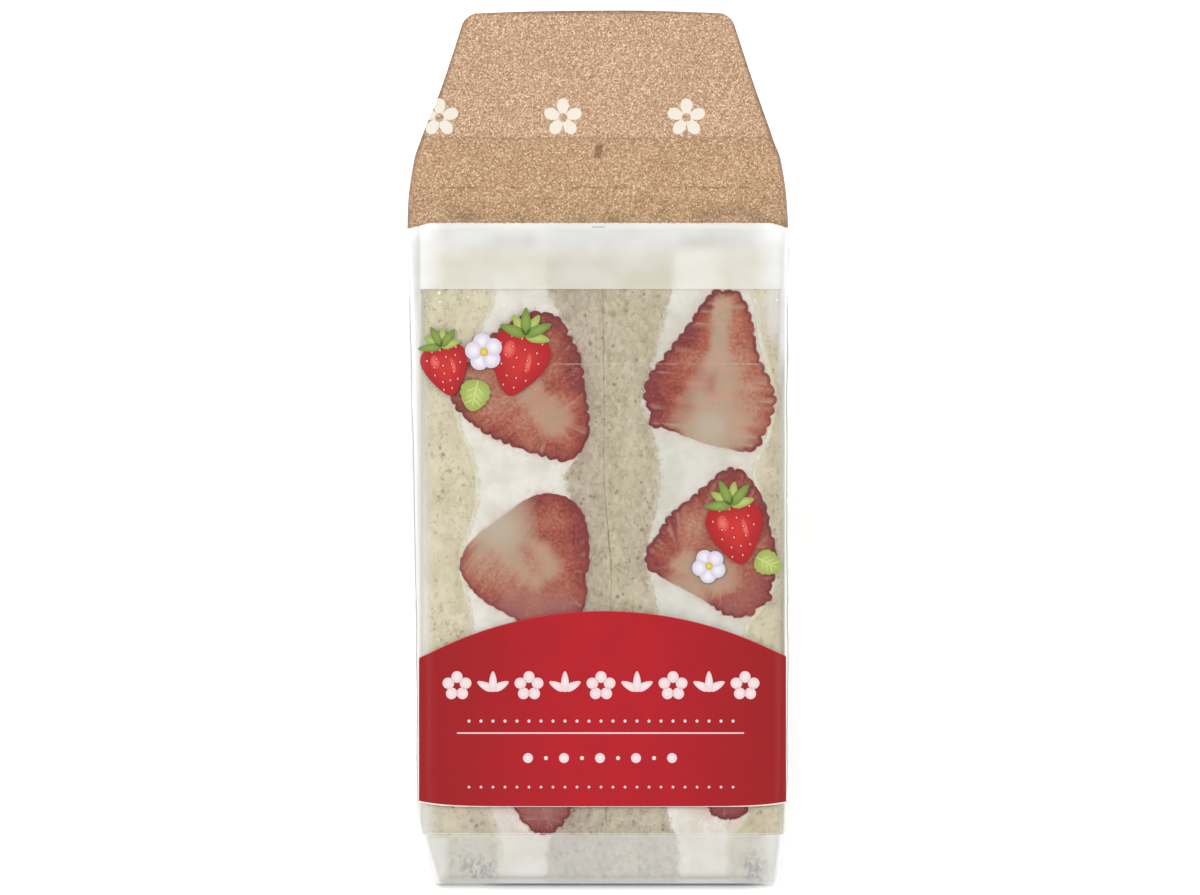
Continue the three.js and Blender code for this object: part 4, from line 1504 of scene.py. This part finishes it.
def ink(name):
    """Opaque ink, a little darker towards the edge of each shape, with a soft uneven tone."""
    colour, shade = INKS[name]
    look = Look(f"ink_{name}")
    look.colour = look.mix(look.zone(reach=(0.1, 1.0)), colour, shade)
    look.paint(shade, look.between(look.noise(0.14), 0.35, 0.7, 0.0, 0.25))
    grain = look.noise(3.0)
    return look.set(Roughness=0.3, Specular_IOR_Level=0.25, Normal=look.bump(grain, 0.01, 0.3))


def band_shell(above, below, level):
    """The red field: an arc above, a nearly straight foot below, on the label's face, both grown."""
    s = np.linspace(LABEL_LEFT + 0.15, LABEL_RIGHT - 0.15, 90)
    off = (s - BAND_MIDDLE) / ((LABEL_RIGHT - LABEL_LEFT) / 2)
    top = BAND_APEX - BAND_RADIUS + np.sqrt(BAND_RADIUS**2 - (s - BAND_MIDDLE) ** 2) + above
    foot = BAND_FOOT + BAND_FOOT_RISE * off**8 - below * (0.6 + 1.2 * off**4)
    u = foot + (top - foot) * np.linspace(0, 1, 24)[:, None]
    s, off = np.broadcast_to(s, u.shape), np.broadcast_to(off, u.shape)
    lift = LABEL_FACE + level * INK_STEP
    return sheet_on(front_film, s, u, lift, lift + INK_STEP, reach=np.tile(np.abs(off).ravel(), 2))


def stamp(name, level, shape, x, y, turn=0.0, rings=3):
    """Prints a shape, in millimetres about its own middle, at a pixel of the photo."""
    angle = math.radians(turn)
    a, b = shape.T
    at = from_photo(x, y)
    outline = np.column_stack([
        at[0] + a * math.cos(angle) - b * math.sin(angle),
        at[1] + a * math.sin(angle) + b * math.cos(angle),
    ])
    plate = plate_shell(outline, LABEL_FACE + level * INK_STEP, INK_STEP, rings)
    printed.setdefault(name, []).append(plate)


def oval(width, height, middle=(0, 0), count=20):
    t = np.linspace(0, 2 * math.pi, count, endpoint=False)
    return np.column_stack([middle[0] + width / 2 * np.cos(t), middle[1] + height / 2 * np.sin(t)])


def spun(shape, turn):
    angle = math.radians(turn)
    c, s = math.cos(angle), math.sin(angle)
    return shape @ np.array([[c, s], [-s, c]])


def berry_shape(width, height, count=56):
    t = np.linspace(0, 2 * math.pi, count, endpoint=False)
    x = np.sin(t) * (0.75 + 0.35 * np.cos(t)) / 0.814
    return np.column_stack([width / 2 * x, height / 2 * np.cos(t)])


def leaf_shape(width, length, teeth=0, count=40):
    """A leaf from the origin up, pointed at its far end, with small teeth if asked."""
    t = np.linspace(0, 2 * math.pi, count, endpoint=False)
    half = np.sin(t) * (1 + 0.3 * np.cos(t)) * (1 + 0.1 * np.abs(np.sin(t * teeth)))
    return np.column_stack([width / 2 * half, length * (0.5 - 0.5 * np.cos(t))])


def print_berry(x, y, width, height, turn):
    """A strawberry with its gloss, seeds and leaves."""
    stamp("berry_red", 0, berry_shape(width, height), x, y, turn, rings=12)
    stamp("gloss_pink", 1, oval(width * 0.2, height * 0.26, (-width * 0.2, height * 0.16)), x, y, turn)
    stamp("gloss_pink", 1, oval(width * 0.1, height * 0.3, (width * 0.17, height * 0.02)), x, y, turn + 6)
    rows = 6
    for row in range(rows):
        up = height * (0.36 - row * 0.145)
        reach = 0.5 * width * (0.86 - 0.13 * abs(row - 1.2))
        count = 4 if row < 3 else 3 - (row > 4)
        for k in range(count):
            across = reach * ((k + 0.5 * (row % 2 == 0) + 0.25) / count * 2 - 1)
            stamp("deep_red", 1, oval(0.72, 0.9, (across, up), 12), x, y, turn)
            stamp("seed", 2, oval(0.38, 0.58, (across, up), 10), x, y, turn)
    for k, lean in enumerate((-86, -50, -18, 16, 48, 84)):
        leaf = spun(leaf_shape(width * 0.17, height * (0.36 + 0.05 * (k % 2))), lean)
        leaf = leaf + (0, height * 0.42)
        stamp("leaf_dark" if k % 2 else "leaf_light", 3 + k % 2, leaf, x, y, turn)


def print_blossom(x, y, radius, turn):
    for k, level in enumerate((3, 4, 3, 4, 5)):
        petal = spun(oval(radius * 1.0, radius * 0.95, (0, radius * 0.58), 24), k * 72)
        stamp("petal", level, petal, x, y, turn)
    stamp("heart", 6, oval(radius * 0.46, radius * 0.46), x, y, turn)


def print_leaf(x, y, width, length, turn):
    stamp("leaf_light", 1, leaf_shape(width, length, teeth=7, count=84), x, y, turn, rings=5)
    stamp("leaf_vein", 2, leaf_shape(width * 0.06, length * 0.86), x, y, turn)
    for side, up in itertools.product((-1, 1), (0.22, 0.42, 0.6)):
        vein = spun(leaf_shape(width * 0.04, width * 0.42, count=12), -side * 52) + (0, length * up)
        stamp("leaf_vein", 2, vein, x, y, turn)


def marks(row):
    """The numbers and places of the marks of a row."""
    first, spacing, count = row
    return [(k, first + spacing * k) for k in range(count)]


def print_band():
    """The red field with its plain rule, and rows of blossoms, leaves and dots."""
    for level, (name, above, below, tone) in enumerate((
        ("print_band_foot", 0, BAND_EDGE, "foot_white"),
        ("print_band_arc", BAND_EDGE, 0, "red_edge"),
        ("print_band", 0, 0, "band_red"),
    )):
        piece(name, band_shell(above, below, level), ink(tone), sharp=40)
    for k, x in marks(BLOSSOM_ROW):
        if k % 2 == 0:
            for petal in range(5):
                stamp("white", 3, spun(oval(2.5, 2.6, (0, 2.0)), petal * 72), x, BLOSSOM_Y)
        else:
            for side in (-1, 1):
                stamp("white", 3, spun(leaf_shape(1.7, 3.9), side * 62), x, BLOSSOM_Y + 4)
            stamp("white", 4, leaf_shape(1.7, 4.6), x, BLOSSOM_Y + 6)
    left, right, rule_y = RULE
    ends = np.linspace(-1, 1, 40) * (right - left) / 2 * PHOTO_SCALE
    rule = np.concatenate([stacked(ends, -RULE_HALF), stacked(-ends, RULE_HALF)])
    stamp("white", 3, rule, (left + right) / 2, rule_y, rings=1)
    for _, x in marks(DOT_ROW):
        for y, size in DOTS:
            stamp("white", 3, oval(size, size, count=12), x, y)
    for k, x in marks(BEAD_ROW):
        size = 2.2 if k % 2 == 0 else 0.9
        stamp("white", 3, oval(size, size), x, BEAD_Y)


def make_prints():
    print_band()
    print_leaf(478, 380, 6.0, 7.0, 168)
    print_berry(446, 369, 10.2, 12.0, 12)
    print_berry(518, 363, 13.2, 15.0, -16)
    print_blossom(484, 352, 4.0, 10)
    print_leaf(756, 557, 5.0, 6.0, -118)
    print_berry(736, 532, 12.6, 14.4, 10)
    print_blossom(709, 566, 3.6, 30)
    for name, plates in printed.items():
        piece(f"print_{name}", joined(plates), ink(name), sharp=40)


# Stage, light and camera

CAMERA_DISTANCE = 2400.0
SENSOR = 36.0
FLOOR_HALF = 6.0


def make_stage():
    mesh = bpy.data.meshes.new("floor")
    corners = [(-FLOOR_HALF, -FLOOR_HALF), (FLOOR_HALF, -FLOOR_HALF), (FLOOR_HALF, FLOOR_HALF),
               (-FLOOR_HALF, FLOOR_HALF)]
    mesh.from_pydata([(*corner, 0) for corner in corners], [], [(0, 1, 2, 3)])
    floor = placed("floor", mesh)
    floor.location.z = -0.2 * MM
    look = Look("floor_white")
    mesh.materials.append(look.set(
        Base_Color=(0.95, 0.95, 0.95, 1),
        Roughness=0.9,
        Specular_IOR_Level=0.1,
        Emission_Color=(1, 1, 1, 1),
        Emission_Strength=0.25,
    ))


def make_light(name, place, size, power):
    data = bpy.data.lights.new(name, "AREA")
    data.shape = "DISK"
    data.size = size
    data.energy = power
    lamp = placed(name, data)
    lamp.location = place
    aim = Vector((0, 0, 0.06)) - Vector(place)
    lamp.rotation_euler = aim.to_track_quat("-Z", "Y").to_euler()


def make_lights():
    world = bpy.data.worlds.new("studio")
    world.use_nodes = True
    background = world.node_tree.nodes["Background"]
    background.inputs["Color"].default_value = (1.0, 1.0, 1.0, 1)
    background.inputs["Strength"].default_value = 0.73
    bpy.context.scene.world = world
    make_light("key", (-0.7, -0.5, 1.2), 1.0, 7.2)
    make_light("fill", (0.9, -0.4, 0.9), 1.0, 3.3)


def make_camera():
    middle = from_photo(PHOTO_WIDTH / 2, PHOTO_HEIGHT / 2)
    data = bpy.data.cameras.new("camera")
    data.sensor_width = SENSOR
    data.lens = SENSOR * CAMERA_DISTANCE / (PHOTO_WIDTH * PHOTO_SCALE)
    camera = placed("camera", data)
    camera.location = to_world([[middle[0], middle[1], CAMERA_DISTANCE]])[0]
    camera.rotation_euler = (math.pi / 4, 0, 0)
    bpy.context.scene.camera = camera


film_material = make_film()
make_side_folds(film_material)
make_fin_folds()
berry_material = berry_look()
outlines = [
    make_berry(name, berry, berry_material, 40 + 7 * number)
    for number, (name, berry) in enumerate(BERRIES.items())
]
make_layers(outlines)
make_label()
make_prints()
make_stage()
make_lights()
make_camera()
bpy.context.scene.view_settings.view_transform = "Standard"
